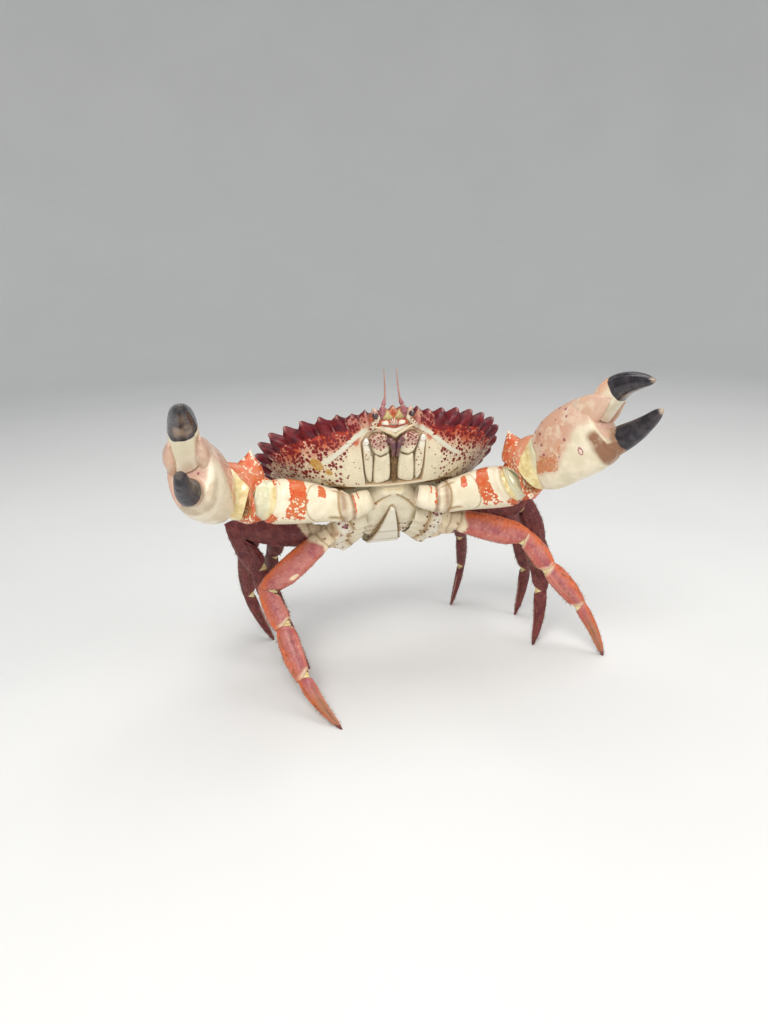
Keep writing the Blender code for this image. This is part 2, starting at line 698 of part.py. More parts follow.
def knob(at, axis, high, radius, height):
    side = np.cross(axis, high)
    rings = []
    for h, r in ((-1.2, 0.9), (0.1, 1.0), (0.75, 0.62)):
        ring = []
        for q in np.arange(6) * math.pi / 3:
            ring.append(at + high * h * height * 0.7 + (axis * math.cos(q) + side * math.sin(q)) * r * radius)
        rings.append(ring)
    verts, faces = tube(rings)
    return make("knob", verts, faces)


TAIL_SECTION = (
    (-1.0, -1.0), (-1.0, 0.2), (-0.6, 0.9), (0.0, 1.15), (0.6, 0.9), (1.0, 0.2), (1.0, -1.0), (0.0, -1.0),
)


def tail_flap(mat, grow=0.0, name="abdomen"):
    """Narrow flap from the rear edge of the shell forward under the breastplate."""
    rings = []
    path = np.asarray(TAIL_PATH, float)
    for i, (y, z) in enumerate(path):
        ahead = path[min(i + 1, len(path) - 1)] - path[max(i - 1, 0)]
        ahead = ahead / np.linalg.norm(ahead)
        out = np.array([-ahead[1], ahead[0]])
        if i == 0:
            y, z = path[0] - ahead * grow
        if i == len(path) - 1:
            y, z = path[-1] + ahead * grow
        half = TAIL_HALF[i] + grow
        t = TAIL_THICK + grow
        ring = []
        for f, g in TAIL_SECTION:
            ring.append((half * f, y - out[0] * t * g, z - out[1] * t * g))
        rings.append(ring)
    verts, faces = tube(rings)
    return make(name, stand(verts), faces, mat)


def ball(at, radius, stretch, axis, name, mat, rings=6, sides=10):
    axis = unit(axis)
    helper = unit(np.cross(axis, (0.3, 0.5, 0.8)))
    other = np.cross(axis, helper)
    loops = []
    for i in range(1, rings):
        q = math.pi * i / rings
        middle = at - axis * math.cos(q) * radius * stretch
        loop = []
        for s in np.arange(sides) * 2 * math.pi / sides:
            loop.append(middle + (helper * math.cos(s) + other * math.sin(s)) * math.sin(q) * radius)
        loops.append(loop)
    verts, faces = tube(loops)
    verts[-2] = at - axis * radius * stretch
    verts[-1] = at + axis * radius * stretch
    return make(name, verts, faces, mat)


def feeler(side, root, tip, table, bend, name, mat, grow=0.0):
    """Bent spindle from root to tip, with a swollen base of three joints."""
    root = stand((side * root[0], root[1], root[2]))
    tip = stand((side * tip[0], tip[1], tip[2]))
    axis = unit(tip - root)
    verts, faces = article(root - axis * grow, tip, (0, 0, 1), table, sides=8, steps=9, bow=bend, grow=grow)
    return make(name, verts, faces, mat)


ANTENNA_TABLE = (
    (0.0, 1.7, 1.7), (0.1, 1.9, 1.9), (0.2, 1.5, 1.5), (0.3, 0.75, 0.75), (0.6, 0.5, 0.5), (1.0, 0.3, 0.3),
)
ANTENNULE_TABLE = ((0.0, 1.3, 1.5), (0.4, 1.2, 1.4), (0.75, 0.7, 0.8), (1.0, 0.35, 0.35))


def build():
    for obj in list(bpy.data.objects):
        bpy.data.objects.remove(obj)
    ivory = (0.83, 0.76, 0.62)
    cream = (0.80, 0.68, 0.48)
    rust = (0.52, 0.13, 0.07)
    dark = (0.22, 0.05, 0.05)
    shell = make("carapace", *shell_body(), material("shell_red", (0.42, 0.10, 0.07), 0.42))
    cutters = [mouth_cutter()]
    sternum = sternum_body(material("breast_ivory", ivory, 0.4))
    tail = tail_flap(material("tail_ivory", ivory, 0.45))
    box = [(x, y, z) for x in (-46, 46) for y in (-13.6, 60) for z in (-60, STERNUM_TOP)]
    corner = stand(box)
    faces = [(0, 1, 3, 2), (4, 6, 7, 5), (0, 4, 5, 1), (2, 3, 7, 6), (0, 2, 6, 4), (1, 5, 7, 3)]
    cutters.append(make("seat_cut", corner, faces))
    cutters.append(tail_flap(None, GAP, "tail_cut"))
    for side in (-1.0, 1.0):
        word = "right" if side < 0 else "left"
        at = stand((side * EYE_AT[0], EYE_AT[1], EYE_AT[2]))
        look = stand((side * 0.25, -1.0, 0.25)) - stand((0, 0, 0))
        eye = material(f"eye_dark_{word}", (0.05, 0.01, 0.02), 0.15)
        ball(at, EYE_RADIUS, 1.3, look, f"eye_{word}", eye)
        cutters.append(ball(at, EYE_RADIUS + GAP, 1.28, look, "eye_cut", None))
        a = ANTENNA_AT
        tip = (a[0] + 1.5, a[1] - ANTENNA_LENGTH, a[2] + 2.0)
        mauve = material(f"feeler_mauve_{word}", (0.45, 0.2, 0.22), 0.4)
        feeler(side, a, tip, ANTENNA_TABLE, 1.5, f"antenna_{word}", mauve)
        cutters.append(feeler(side, a, tip, ANTENNA_TABLE, 1.5, "antenna_cut", None, GAP))
        b = ANTENNULE_AT
        tip = (b[0] + 0.2, b[1] - 8.5, b[2] + 2.4)
        olive = material(f"antennule_olive_{word}", (0.6, 0.56, 0.35), 0.35)
        feeler(side, b, tip, ANTENNULE_TABLE, 0.6, f"antennule_{word}", olive)
        cutters.append(feeler(side, b, tip, ANTENNULE_TABLE, 0.6, "antennule_cut", None, GAP))
        mouthpart(side, material(f"jawfoot_cream_{word}", ivory, 0.4))
        cutters.append(coxa_cutter(side))
        claw_parts = ("coxa", "merus", "carpus", "palm", "dactyl")
        claw_colours = (ivory, cream, rust, (0.7, 0.33, 0.2), (0.02, 0.02, 0.02))
        claw_mats = [
            material(f"claw_{part}_{word}_shell", colour, 0.4)
            for part, colour in zip(claw_parts, claw_colours)
        ]
        claw(side, claw_mats)
        for i in range(4):
            leg_parts = ("merus", "carpus", "propodus", "dactyl")
            leg_mats = [
                material(f"leg{i + 1}_{part}_{word}_shell", colour, 0.45)
                for part, colour in zip(leg_parts, (rust, rust, dark, dark))
            ]
            walking_leg(side, i, leg_mats)
    boolean(shell, cutters, "DIFFERENCE", "MANIFOLD")
    boolean(sternum, [tail_flap(None, GAP, "tail_cut"), coxa_cutter(-1.0), coxa_cutter(1.0)], "DIFFERENCE")
    centre_on_floor()


def centre_on_floor():
    """Moves every piece so that the middle of the whole model's box is over the origin."""
    low = np.full(3, 1e9)
    high = np.full(3, -1e9)
    meshes = [o for o in bpy.data.objects if o.type == "MESH"]
    for obj in meshes:
        co = np.array([v.co[:] for v in obj.data.vertices])
        low = np.minimum(low, co.min(axis=0))
        high = np.maximum(high, co.max(axis=0))
    shift = np.array([(low[0] + high[0]) / 2, (low[1] + high[1]) / 2, low[2]])
    for obj in meshes:
        for v in obj.data.vertices:
            v.co[0] -= shift[0]
            v.co[1] -= shift[1]
            v.co[2] -= shift[2]


build()
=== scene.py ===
"""Pacific rock crab, life size, reared up on its walking legs with both claws spread.

Fine shell, face, mouth, claws, legs, joint skins and bristles stand over the solids. The body
is measured in millimetres in its own frame: x to the crab's left, y to the rear, z to the back.
"""

import math

import bpy
import numpy as np
from bpy.props import FloatProperty, FloatVectorProperty
from mathutils import Matrix, Vector


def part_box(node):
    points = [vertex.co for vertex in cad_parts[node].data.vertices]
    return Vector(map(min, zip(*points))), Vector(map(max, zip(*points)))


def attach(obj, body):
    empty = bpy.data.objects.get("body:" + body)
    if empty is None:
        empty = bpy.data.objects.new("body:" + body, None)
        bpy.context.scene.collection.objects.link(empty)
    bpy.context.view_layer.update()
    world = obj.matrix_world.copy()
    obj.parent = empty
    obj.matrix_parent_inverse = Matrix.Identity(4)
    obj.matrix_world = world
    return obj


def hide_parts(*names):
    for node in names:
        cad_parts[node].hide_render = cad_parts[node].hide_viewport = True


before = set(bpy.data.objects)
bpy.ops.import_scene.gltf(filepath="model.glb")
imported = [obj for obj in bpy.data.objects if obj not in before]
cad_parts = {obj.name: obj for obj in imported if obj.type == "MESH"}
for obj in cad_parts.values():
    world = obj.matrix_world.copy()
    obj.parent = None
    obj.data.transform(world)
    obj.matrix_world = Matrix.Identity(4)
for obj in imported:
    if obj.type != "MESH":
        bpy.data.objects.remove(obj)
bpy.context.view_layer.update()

bl_info = {
    "name": "Pacific rock crab",
    "version": (1, 0, 0),
    "blender": (4, 5, 0),
    "location": "View3D > Sidebar > Crab",
    "description": "Builds a life-size rock crab over its packed solids",
    "category": "Add Mesh",
}

BODY = "root"

# sides of the body, and the word for each in the names of pieces
SIDES = ((-1.0, "right"), (1.0, "left"))

# joints between neighbouring pieces
GAP = 0.3

# stance
PITCH = 50.0
BODY_HEIGHT = 138.0

# shell seen from above
SHELL_CENTRE = (0.0, -4.0)
FRONT_TEETH = ((0.0, -55.4), (5.2, -54.0), (10.0, -52.4))
ORBIT = (12.8, -47.2)
SIDE_TEETH = (
    (16.4, -51.3), (24.5, -47.8), (33.6, -46.4), (44.0, -43.8), (54.7, -39.2), (64.4, -33.4),
    (73.3, -26.0), (79.6, -15.6), (81.6, -3.2), (79.8, 7.2), (75.6, 15.6),
)
TOOTH_DEPTH = (1.6, 2.6, 3.6, 4.4, 4.8, 5.0, 5.2, 5.2, 4.4, 2.8, 1.6)
TOOTH_RISE = 0.55
REAR_EDGE = (
    (68.0, 24.5), (58.5, 33.5), (49.0, 40.8), (40.0, 46.2), (31.0, 50.4), (22.0, 52.4), (11.0, 53.2),
)

# shell seen from the front
SHELL_DOME = 18.0
SHELL_DEPTH = 30.0
SIDE_LIFT = 8.0
REAR_DROP = 6.0
RIM_HALF = 0.7
SHELF_Z = -21.5
CHEEK_DROP = 8.0
CHEEK_Y = (-18.0, -10.0)

# mouth field, an inclined seat under the front of the shell
MOUTH_REAR = (-14.5, -23.0)
MOUTH_FRONT = (-43.0, -7.5)

# breastplate and leg bases
STERNUM_TOP = -22.0
STERNUM_PLAN = (
    (-13.2, 8.0), (-6.0, 13.0), (0.0, 16.5), (8.0, 20.5),
    (18.0, 22.0), (28.0, 20.5), (38.0, 16.5), (47.0, 9.5),
)
STERNUM_BOTTOM = ((-13.2, -28.5), (0.0, -32.5), (18.0, -34.0), (36.0, -32.5), (47.0, -28.0))
COXA_IN = (16.0, 0.8, 2.4)
COXA_RADIUS = 5.3
LEG_HIPS = ((34.0, 16.6, -35.4), (34.6, 30.0, -33.0), (32.6, 40.4, -31.0), (28.0, 49.2, -28.4))

# tail flap folded under the body
TAIL_PATH = ((53.6, -9.0), (54.4, -20.0), (48.5, -29.8), (34.0, -34.4), (18.0, -35.6), (2.0, -34.4))
TAIL_HALF = (12.0, 12.5, 11.5, 8.5, 5.2, 1.6)
TAIL_THICK = 1.5

# eyes: the solid's place and the fine ball's half width
EYE_AT = (11.6, -50.6, -0.6)
EYE_FINE = 1.9

# walking legs: length, then half thickness and half height along each article
LEG_LENGTHS = (62.0, 27.0, 35.0, 38.0)
LEG_MERUS = (
    (0.0, 4.1, 4.9), (0.09, 4.5, 5.9), (0.17, 4.2, 5.5), (0.26, 4.5, 7.0),
    (0.55, 4.9, 8.4), (0.85, 4.7, 8.0), (1.0, 3.9, 5.9),
)
LEG_CARPUS = ((0.0, 3.7, 5.4), (0.25, 4.3, 6.3), (0.7, 4.7, 7.2), (1.0, 3.9, 5.8))
LEG_PROPODUS = ((0.0, 3.6, 5.4), (0.2, 4.1, 6.7), (0.6, 4.0, 6.6), (0.9, 3.5, 5.2), (1.0, 3.0, 4.4))
LEG_DACTYL = ((0.0, 2.8, 4.1), (0.15, 3.1, 4.5), (0.5, 2.6, 3.7), (0.8, 1.9, 2.5), (1.0, 0.7, 0.8))
LEG_SIZES = (1.0, 1.04, 1.0, 0.86)
LEG_BENDS_RIGHT = ((1.34, -0.04, 0.26), (1.3, -0.04, 0.02), (0.7, 0.2, 0.3), (0.55, 0.25, 0.35))
LEG_BENDS_LEFT = ((1.11, -0.06, 0.49), (0.9, 0.2, 0.15), (0.6, 0.25, 0.3), (0.55, 0.25, 0.35))
FEET_RIGHT = ((-47.4, -80.8), (-56.3, -6.4), (-76.0, 42.0), (-62.0, 66.0))
FEET_LEFT = ((141.4, -42.8), (102.0, -16.0), (108.0, 32.0), (66.0, 62.0))
KNEES_RIGHT = ((-0.85, 0.41, -0.33), (-0.75, 0.21, -0.63), (-1.0, 0.7, 0.5), (-0.8, 0.7, 0.5))
KNEES_LEFT = ((0.98, 0.13, 0.15), (1.0, 0.1, 0.4), (1.0, 0.3, 0.6), (0.8, 0.7, 0.5))

# claws: lengths, then half thickness and half height
CLAW_HIP = (27.0, -5.0, -35.0)
CLAW_COXA_IN = (15.0, -6.4, -31.5)
CLAW_LENGTHS = (51.5, 30.0, 48.0, 42.0)
CLAW_COXA = ((0.0, 6.4, 6.8), (0.5, 7.2, 7.8), (1.0, 7.2, 7.8))
CLAW_MERUS = (
    (0.0, 7.2, 7.8), (0.1, 8.4, 9.8), (0.2, 8.6, 10.4), (0.27, 9.0, 10.6),
    (0.65, 11.0, 13.2), (0.9, 11.4, 13.8), (1.0, 10.2, 12.0),
)
CLAW_CARPUS = (
    (0.0, 9.8, 11.4), (0.22, 12.5, 14.6), (0.62, 13.4, 17.2), (0.88, 12.0, 16.0), (1.0, 10.0, 13.4),
)
CLAW_PALM = (
    (0.0, 9.8, 15.0), (0.08, 12.0, 18.8), (0.2, 14.0, 21.4), (0.45, 15.2, 22.5),
    (0.75, 15.2, 22.6), (0.93, 13.8, 21.0), (1.0, 12.4, 19.6),
)
FINGER_ROOT = (7.6, 8.6, -10.4)
FINGER_TIP = (2.8, 2.6, -8.5)
FINGER_INWARD = 8.0
HINGE_RISE = 10.6
FINGER_LENGTH = 39.0
DACTYL_BOW = 6.2
CLAW_DACTYL = (
    (0.0, 8.2, 9.0), (0.18, 8.6, 9.0), (0.45, 7.6, 7.4),
    (0.75, 5.6, 5.4), (0.92, 3.5, 3.4), (1.0, 1.1, 1.1),
)
SPINE_RISE = 15.0
AIM_RIGHT = ((-89.4, 10.1), (-95.0, 17.6), (-19.3, 26.0), (0.0, 47.9))
AIM_LEFT = ((90.3, 5.4), (35.1, 43.1), (35.9, 32.1), (19.8, 29.6))
ROLL_RIGHT = (-0.056, 0.474, 0.879)
ROLL_LEFT = (-0.143, 0.54, 0.829)

# the wrist joint leans over the palm above and reaches back below
WRIST_SLANT = 0.5
WRIST_SET = 3.0

# camera: where it stands from the body centre, its roll and its framing
CAMERA_BACK = (-0.2078, -0.9449, 0.2531)
CAMERA_SIDE = (0.97472, -0.22178, -0.02720)
CAMERA_DISTANCE = 0.505
PICTURE_HEIGHT = 1024
FOCAL_PIXELS = 770
CAMERA_SHIFT = (1.6 / PICTURE_HEIGHT, -49.4 / PICTURE_HEIGHT)


# numbers and curves


def stand(p):
    """Body frame to the standing frame, floor at z = 0."""
    c = math.cos(math.radians(PITCH))
    s = math.sin(math.radians(PITCH))
    p = np.asarray(p, float)
    x, y, z = p[..., 0], p[..., 1], p[..., 2]
    return np.stack([x, y * c + z * s, -y * s + z * c + BODY_HEIGHT], axis=-1)


def unstand(p):
    """Standing frame back to the body frame."""
    c = math.cos(math.radians(PITCH))
    s = math.sin(math.radians(PITCH))
    x, y, z = p[..., 0], p[..., 1], p[..., 2] - BODY_HEIGHT
    return np.stack([x, y * c - z * s, y * s + z * c], axis=-1)


def floor_shift():
    """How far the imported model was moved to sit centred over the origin, in millimetres."""
    low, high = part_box("eye_right")
    middle = np.array((low + high) / 2) * 1000.0
    return middle - stand((-EYE_AT[0], EYE_AT[1], EYE_AT[2]))


SHIFT = floor_shift()


def unit(v):
    v = np.asarray(v, float)
    return v / np.linalg.norm(v, axis=-1, keepdims=True)


def aim(heading, rise):
    h = math.radians(heading)
    r = math.radians(rise)
    return np.array([math.sin(h) * math.cos(r), -math.cos(h) * math.cos(r), math.sin(r)])


def ease(a, b, x):
    t = np.clip((np.asarray(x, float) - a) / (b - a), 0.0, 1.0)
    return t * t * (3.0 - 2.0 * t)


def bell(x, middle, width):
    return np.exp(-(((np.asarray(x, float) - middle) / width) ** 2))


def along(table, t):
    """Smoothly interpolated row of a table whose first column runs upwards."""
    rows = np.asarray(table, float)
    xs = rows[:, 0]
    i = int(np.clip(np.searchsorted(xs, t) - 1, 0, len(xs) - 2))
    u = float(np.clip((t - xs[i]) / (xs[i + 1] - xs[i]), 0.0, 1.0))
    a = rows[i, 1:]
    b = rows[i + 1, 1:]
    prior = rows[max(i - 1, 0), 1:]
    after = rows[min(i + 2, len(xs) - 1), 1:]
    square = (2 * prior - 5 * a + 4 * b - after) * u ** 2
    cube = (3 * a - prior - 3 * b + after) * u ** 3
    bent = 0.5 * (2 * a + (b - prior) * u + square + cube)
    return 0.35 * (a + (b - a) * u) + 0.65 * bent


def curve(points, per, closed=False):
    """Smooth line through points, with so many steps between each pair."""
    p = np.asarray(points, float)
    n = len(p)
    spans = n if closed else n - 1

    def shifted(by):
        index = np.arange(by, by + spans)
        return p[index % n] if closed else p[np.clip(index, 0, n - 1)]

    a, b, c, d = (shifted(by)[:, None, :] for by in (-1, 0, 1, 2))
    u = (np.arange(per) / per)[None, :, None]
    square = 2 * a - 5 * b + 4 * c - d
    cube = 3 * b - a - 3 * c + d
    line = 0.5 * (2 * b + (c - a) * u + square * u ** 2 + cube * u ** 3)
    line = line.reshape(-1, p.shape[1])
    return line if closed else np.vstack([line, p[-1:]])


def away(points, line):
    """Distance of each point from a polyline in the plane, and how far along it the foot lies."""
    points = np.asarray(points, float)
    line = np.asarray(line, float)
    best = np.full(points.shape[:-1], 1e9)
    place = np.zeros(points.shape[:-1])
    for i in range(len(line) - 1):
        a = line[i]
        d = line[i + 1] - a
        u = np.clip(((points - a) @ d) / max(d @ d, 1e-9), 0.0, 1.0)
        gap = np.linalg.norm(points - a - u[..., None] * d, axis=-1)
        nearer = gap < best
        best = np.where(nearer, gap, best)
        place = np.where(nearer, (i + u) / (len(line) - 1), place)
    return best, place


def scatter(i, j, k, seed):
    """Repeatable value from 0 to 1 for each whole-number place."""
    n = (i * 374761393 + j * 668265263 + k * 1440662683 + seed * 974711) & 0x7FFFFFFF
    n = ((n ^ (n >> 13)) * 1274126177) & 0x7FFFFFFF
    return ((n ^ (n >> 16)) & 0xFFFF) / 65535.0


def lumps(p, size, seed=0):
    """Soft lumps of a given size in millimetres, from -1 to 1."""
    q = np.asarray(p, float) / size
    base = np.floor(q).astype(np.int64)
    f = q - base
    f = f * f * (3.0 - 2.0 * f)
    total = np.zeros(q.shape[:-1])
    for dx in (0, 1):
        for dy in (0, 1):
            for dz in (0, 1):
                w = (f[..., 0] if dx else 1 - f[..., 0]) * (f[..., 1] if dy else 1 - f[..., 1])
                w = w * (f[..., 2] if dz else 1 - f[..., 2])
                total += w * scatter(base[..., 0] + dx, base[..., 1] + dy, base[..., 2] + dz, seed)
    return total * 2.0 - 1.0


def beads(p, size, seed=0, fill=0.42):
    """Round granules at random places, 0 between them and 1 on top, about size apart."""
    q = np.asarray(p, float) / size
    base = np.floor(q).astype(np.int64)
    best = np.full(q.shape[:-1], 9.0)
    for dx in (-1, 0, 1):
        for dy in (-1, 0, 1):
            for dz in (-1, 0, 1):
                i, j, k = base[..., 0] + dx, base[..., 1] + dy, base[..., 2] + dz
                x = i + scatter(i, j, k, seed)
                y = j + scatter(i, j, k, seed + 7)
                z = k + scatter(i, j, k, seed + 13)
                gap = (q[..., 0] - x) ** 2 + (q[..., 1] - y) ** 2 + (q[..., 2] - z) ** 2
                best = np.minimum(best, gap)
    return np.sqrt(np.clip(1.0 - best / fill ** 2, 0.0, 1.0))


# pieces


class Skin:
    """One closed surface on a grid of rings, in the standing frame, with a mask for each marking."""

    def __init__(self, grid, t=None, angle=None):
        self.grid = np.asarray(grid, float)
        self.t = t
        self.angle = angle
        self.marks = {}

    def normals(self):
        g = self.grid
        round_it = np.roll(g, -1, 1) - np.roll(g, 1, 1)
        along_it = np.gradient(g, axis=0)
        n = np.cross(along_it, round_it)
        n /= np.maximum(np.linalg.norm(n, axis=-1, keepdims=True), 1e-9)
        outward = g - g.mean(axis=1, keepdims=True)
        if np.sum(n * outward) < 0:
            n = -n
        return n

    def lift(self, height):
        self.grid = self.grid + self.normals() * np.asarray(height)[..., None]

    def mark(self, name, value):
        had = self.marks.get(name, np.zeros(self.grid.shape[:2]))
        self.marks[name] = np.maximum(had, np.clip(value, 0.0, 2.0))

    def clear(self, name, keep):
        if name in self.marks:
            self.marks[name] = self.marks[name] * keep

    def soften(self, first, last, times):
        """Rounds the rings between two rows along the piece."""
        for _ in range(times):
            g = self.grid
            mid = 0.25 * g[first - 1:last - 1] + 0.5 * g[first:last] + 0.25 * g[first + 1:last + 1]
            self.grid[first:last] = mid

    def mesh_parts(self):
        rows, cols = self.grid.shape[:2]
        verts = self.grid.reshape(-1, 3)
        index = np.arange(rows * cols).reshape(rows, cols)
        right = np.roll(index, -1, axis=1)
        quads = np.stack([index[:-1], right[:-1], right[1:], index[1:]], axis=-1).reshape(-1, 4)
        first = len(verts)
        ends = np.array([self.grid[0].mean(axis=0), self.grid[-1].mean(axis=0)])
        verts = np.vstack([verts, ends])
        head = np.stack([right[0], index[0], np.full(cols, first)], axis=-1)
        foot = np.stack([index[-1], right[-1], np.full(cols, first + 1)], axis=-1)
        marks = {}
        for name, value in self.marks.items():
            value = np.broadcast_to(value, self.grid.shape[:2])
            marks[name] = np.concatenate([value.ravel(), [value[0].mean(), value[-1].mean()]])
        return verts, quads, np.vstack([head, foot]), marks


class Bundle:
    """Many closed surfaces gathered into one piece."""

    def __init__(self):
        self.verts = []
        self.quads = []
        self.tris = []
        self.marks = []
        self.count = 0

    def add(self, verts, quads, tris, marks):
        self.verts.append(verts)
        self.quads.append(quads + self.count)
        self.tris.append(tris + self.count)
        self.marks.append((len(verts), marks))
        self.count += len(verts)

    def skin(self, skin):
        self.add(*skin.mesh_parts())

    def mesh_parts(self):
        names = sorted({n for _, marks in self.marks for n in marks})
        joined = {}
        for name in names:
            joined[name] = np.concatenate([m.get(name, np.zeros(size)) for size, m in self.marks])
        return np.vstack(self.verts), np.vstack(self.quads), np.vstack(self.tris), joined


def piece(source, name, finish, replaced=(), patches=None):
    """Makes the object, lets it ride on the body, and hides the solids that it replaces."""
    verts, quads, tris, marks = source.mesh_parts()
    a, b, c, d = (verts[quads[:, k]] for k in range(4))
    volume = np.sum(a * np.cross(b, c)) + np.sum(a * np.cross(c, d))
    x, y, z = (verts[tris[:, k]] for k in range(3))
    volume += np.sum(x * np.cross(y, z))
    if volume < 0:
        quads = quads[:, ::-1]
        tris = tris[:, ::-1]
    mesh = bpy.data.meshes.new(name)
    mesh.from_pydata(((verts + SHIFT) * 0.001).tolist(), [], quads.tolist() + tris.tolist())
    mesh.polygons.foreach_set("use_smooth", np.ones(len(mesh.polygons), bool))
    for mark, value in marks.items():
        layer = mesh.attributes.new(mark, "FLOAT", "POINT")
        layer.data.foreach_set("value", np.asarray(value, np.float32))
    if patches is not None:
        uv = mesh.uv_layers.new(name="OFBake")
        corner_of = np.zeros(len(mesh.loops), np.int32)
        mesh.loops.foreach_get("vertex_index", corner_of)
        uv.data.foreach_set("uv", patches[corner_of].astype(np.float32).ravel())
    mesh.materials.append(MATERIALS[finish])
    mesh.update()
    obj = bpy.data.objects.new(name, mesh)
    bpy.context.scene.collection.objects.link(obj)
    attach(obj, BODY)
    if replaced:
        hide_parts(*replaced)


# closing rings of a limb: share of the last ring's size, and how far out, in millimetres
LIP = ((0.985, 0.12), (0.95, 0.1), (0.91, -0.5), (0.86, -1.6), (0.6, -2.2), (0.25, -2.2))
DOME = ((0.95, 0.25), (0.82, 0.6), (0.6, 0.85), (0.3, 1.0))
POINT = ((0.85, 0.25), (0.6, 0.5), (0.3, 0.62))


def capped(grid, t, q, head, foot, way_in, way_out):
    """Adds closing rings at both ends of a limb grid."""
    rows = [grid]
    ts = [t]
    for profile, ring, way, first in ((head, grid[0], -way_in, True), (foot, grid[-1], way_out, False)):
        middle = ring.mean(axis=0)
        extra = [middle + (ring - middle) * s + way * d for s, d in profile]
        level = np.full((len(extra), grid.shape[1]), 0.0 if first else 1.0)
        if first:
            rows.insert(0, np.array(extra[::-1]))
            ts.insert(0, level)
        else:
            rows.append(np.array(extra))
            ts.append(level)
    grid = np.concatenate(rows)
    t = np.concatenate(ts)
    return grid, t, np.broadcast_to(q, t.shape)


def squared_ring(sides, square):
    """Angles round a limb, with the across and upward shares of its squared outline."""
    q = 2.0 * math.pi * (np.arange(sides) + 0.5) / sides
    across = np.sign(np.cos(q)) * np.abs(np.cos(q)) ** (2.0 / square)
    rise = np.sign(np.sin(q)) * np.abs(np.sin(q)) ** (2.0 / square)
    return q, across, rise


def limb(a, b, high, table, start=None, end=None, sides=64, steps=80, square=2.3, bow=0.0,
         head=LIP, foot=LIP, open_head=None, open_foot=None, stops=None, fade=1):
    """Fine limb piece from a to b, as a skin whose t runs along it and angle round it.

    open_head and open_foot are (way, depth, sharpness): the rim draws back on that side.
    A larger fade squares the rings up sooner behind a slanted start.
    """
    a = np.asarray(a, float)
    b = np.asarray(b, float)
    length = np.linalg.norm(b - a)
    axis = (b - a) / length
    up = unit(np.asarray(high, float) - axis * np.dot(high, axis))
    side = np.cross(up, axis)
    s_pt, s_n = start if start is not None else (a, axis)
    e_pt, e_n = end if end is not None else (b, axis)
    t = np.linspace(0.0, 1.0, steps + 1) if stops is None else np.asarray(stops, float)
    rows = np.array([along(table, v) for v in t])
    q, cq, sq = squared_ring(sides, square)
    x = rows[:, :1] * cq
    y = rows[:, 1:2] * sq
    if rows.shape[1] > 2:
        x = x + rows[:, 2:3]
        y = y + rows[:, 3:4]
    y = y + bow * np.sin(math.pi * t)[:, None]
    off = x[..., None] * side + y[..., None] * up
    p = a + off
    lo = ((s_pt - p) @ s_n) / np.dot(axis, s_n)
    hi = ((e_pt - p) @ e_n) / np.dot(axis, e_n)
    ring = np.cos(q)[:, None] * side + np.sin(q)[:, None] * up
    for opening, sign in ((open_head, 1), (open_foot, -1)):
        if opening is not None:
            way, depth, sharp = opening
            way = unit(np.asarray(way, float) - axis * np.dot(way, axis))
            draw = depth * np.clip(ring @ way, 0.0, 1.0) ** sharp
            if sign > 0:
                lo = lo + draw
            else:
                hi = hi - draw
    t_up = t[:, None]
    grid = p + axis * (lo * (1.0 - t_up) ** fade + hi * t_up)[..., None]
    tt = np.broadcast_to(t[:, None], grid.shape[:2])
    grid, tt, qq = capped(grid, tt, q, head, foot, s_n, e_n)
    skin = Skin(grid, tt, np.degrees(np.arctan2(np.sin(qq), np.cos(qq))))
    skin.axis, skin.up, skin.side = axis, up, side
    skin.inner = (len(head), len(head) + len(t))
    return skin


def mirrored(angle, side):
    """Angle round a limb counted the same way on both sides of the body."""
    if side < 0:
        return angle
    turned = 180.0 - angle
    return (turned + 180.0) % 360.0 - 180.0


def sweep(path, radii, sides=16, per=6, square=2.0, high=(0.0, 0.0, 1.0), head=DOME, foot=DOME):
    """Tube along a smooth path; radii are (half width, half height) at each path point."""
    rows = np.hstack([np.asarray(path, float), np.asarray(radii, float)])
    rows = curve(rows, per)
    line = rows[:, :3]
    t = np.linspace(0.0, 1.0, len(line))
    way = unit(np.gradient(line, axis=0))
    up = np.asarray(high, float) - way * (way @ np.asarray(high, float))[:, None]
    up = unit(up)
    side = np.cross(up, way)
    q, cq, sq = squared_ring(sides, square)
    grid = line[:, None] + side[:, None] * (rows[:, 3:4] * cq)[..., None]
    grid = grid + up[:, None] * (rows[:, 4:5] * sq)[..., None]
    tt = np.broadcast_to(t[:, None], grid.shape[:2])
    small = np.mean(rows[0, 3:5]), np.mean(rows[-1, 3:5])
    head = tuple((s, d * small[0]) for s, d in head)
    foot = tuple((s, d * small[1]) for s, d in foot)
    grid, tt, qq = capped(grid, tt, q, head, foot, way[0], way[-1])
    return Skin(grid, tt, np.degrees(np.arctan2(np.sin(qq), np.cos(qq))))


def mouth_frame():
    """Point, direction along the mouth field to the front, its length and outward normal."""
    rear = np.array([0.0, *MOUTH_REAR])
    front = np.array([0.0, *MOUTH_FRONT])
    run = unit(front - rear)
    normal = np.cross(run, np.array([1.0, 0.0, 0.0]))
    if normal[2] > 0:
        normal = -normal
    return rear, run, np.linalg.norm(front - rear), normal


def mouth_place(x, s, h):
    """Body-frame point on the mouth field: across, along and off the seat."""
    rear, run, _, normal = mouth_frame()
    x, s, h = np.broadcast_arrays(*(np.asarray(v, float) for v in (x, s, h)))
    return rear + x[..., None] * np.array([1.0, 0.0, 0.0]) + s[..., None] * run + h[..., None] * normal


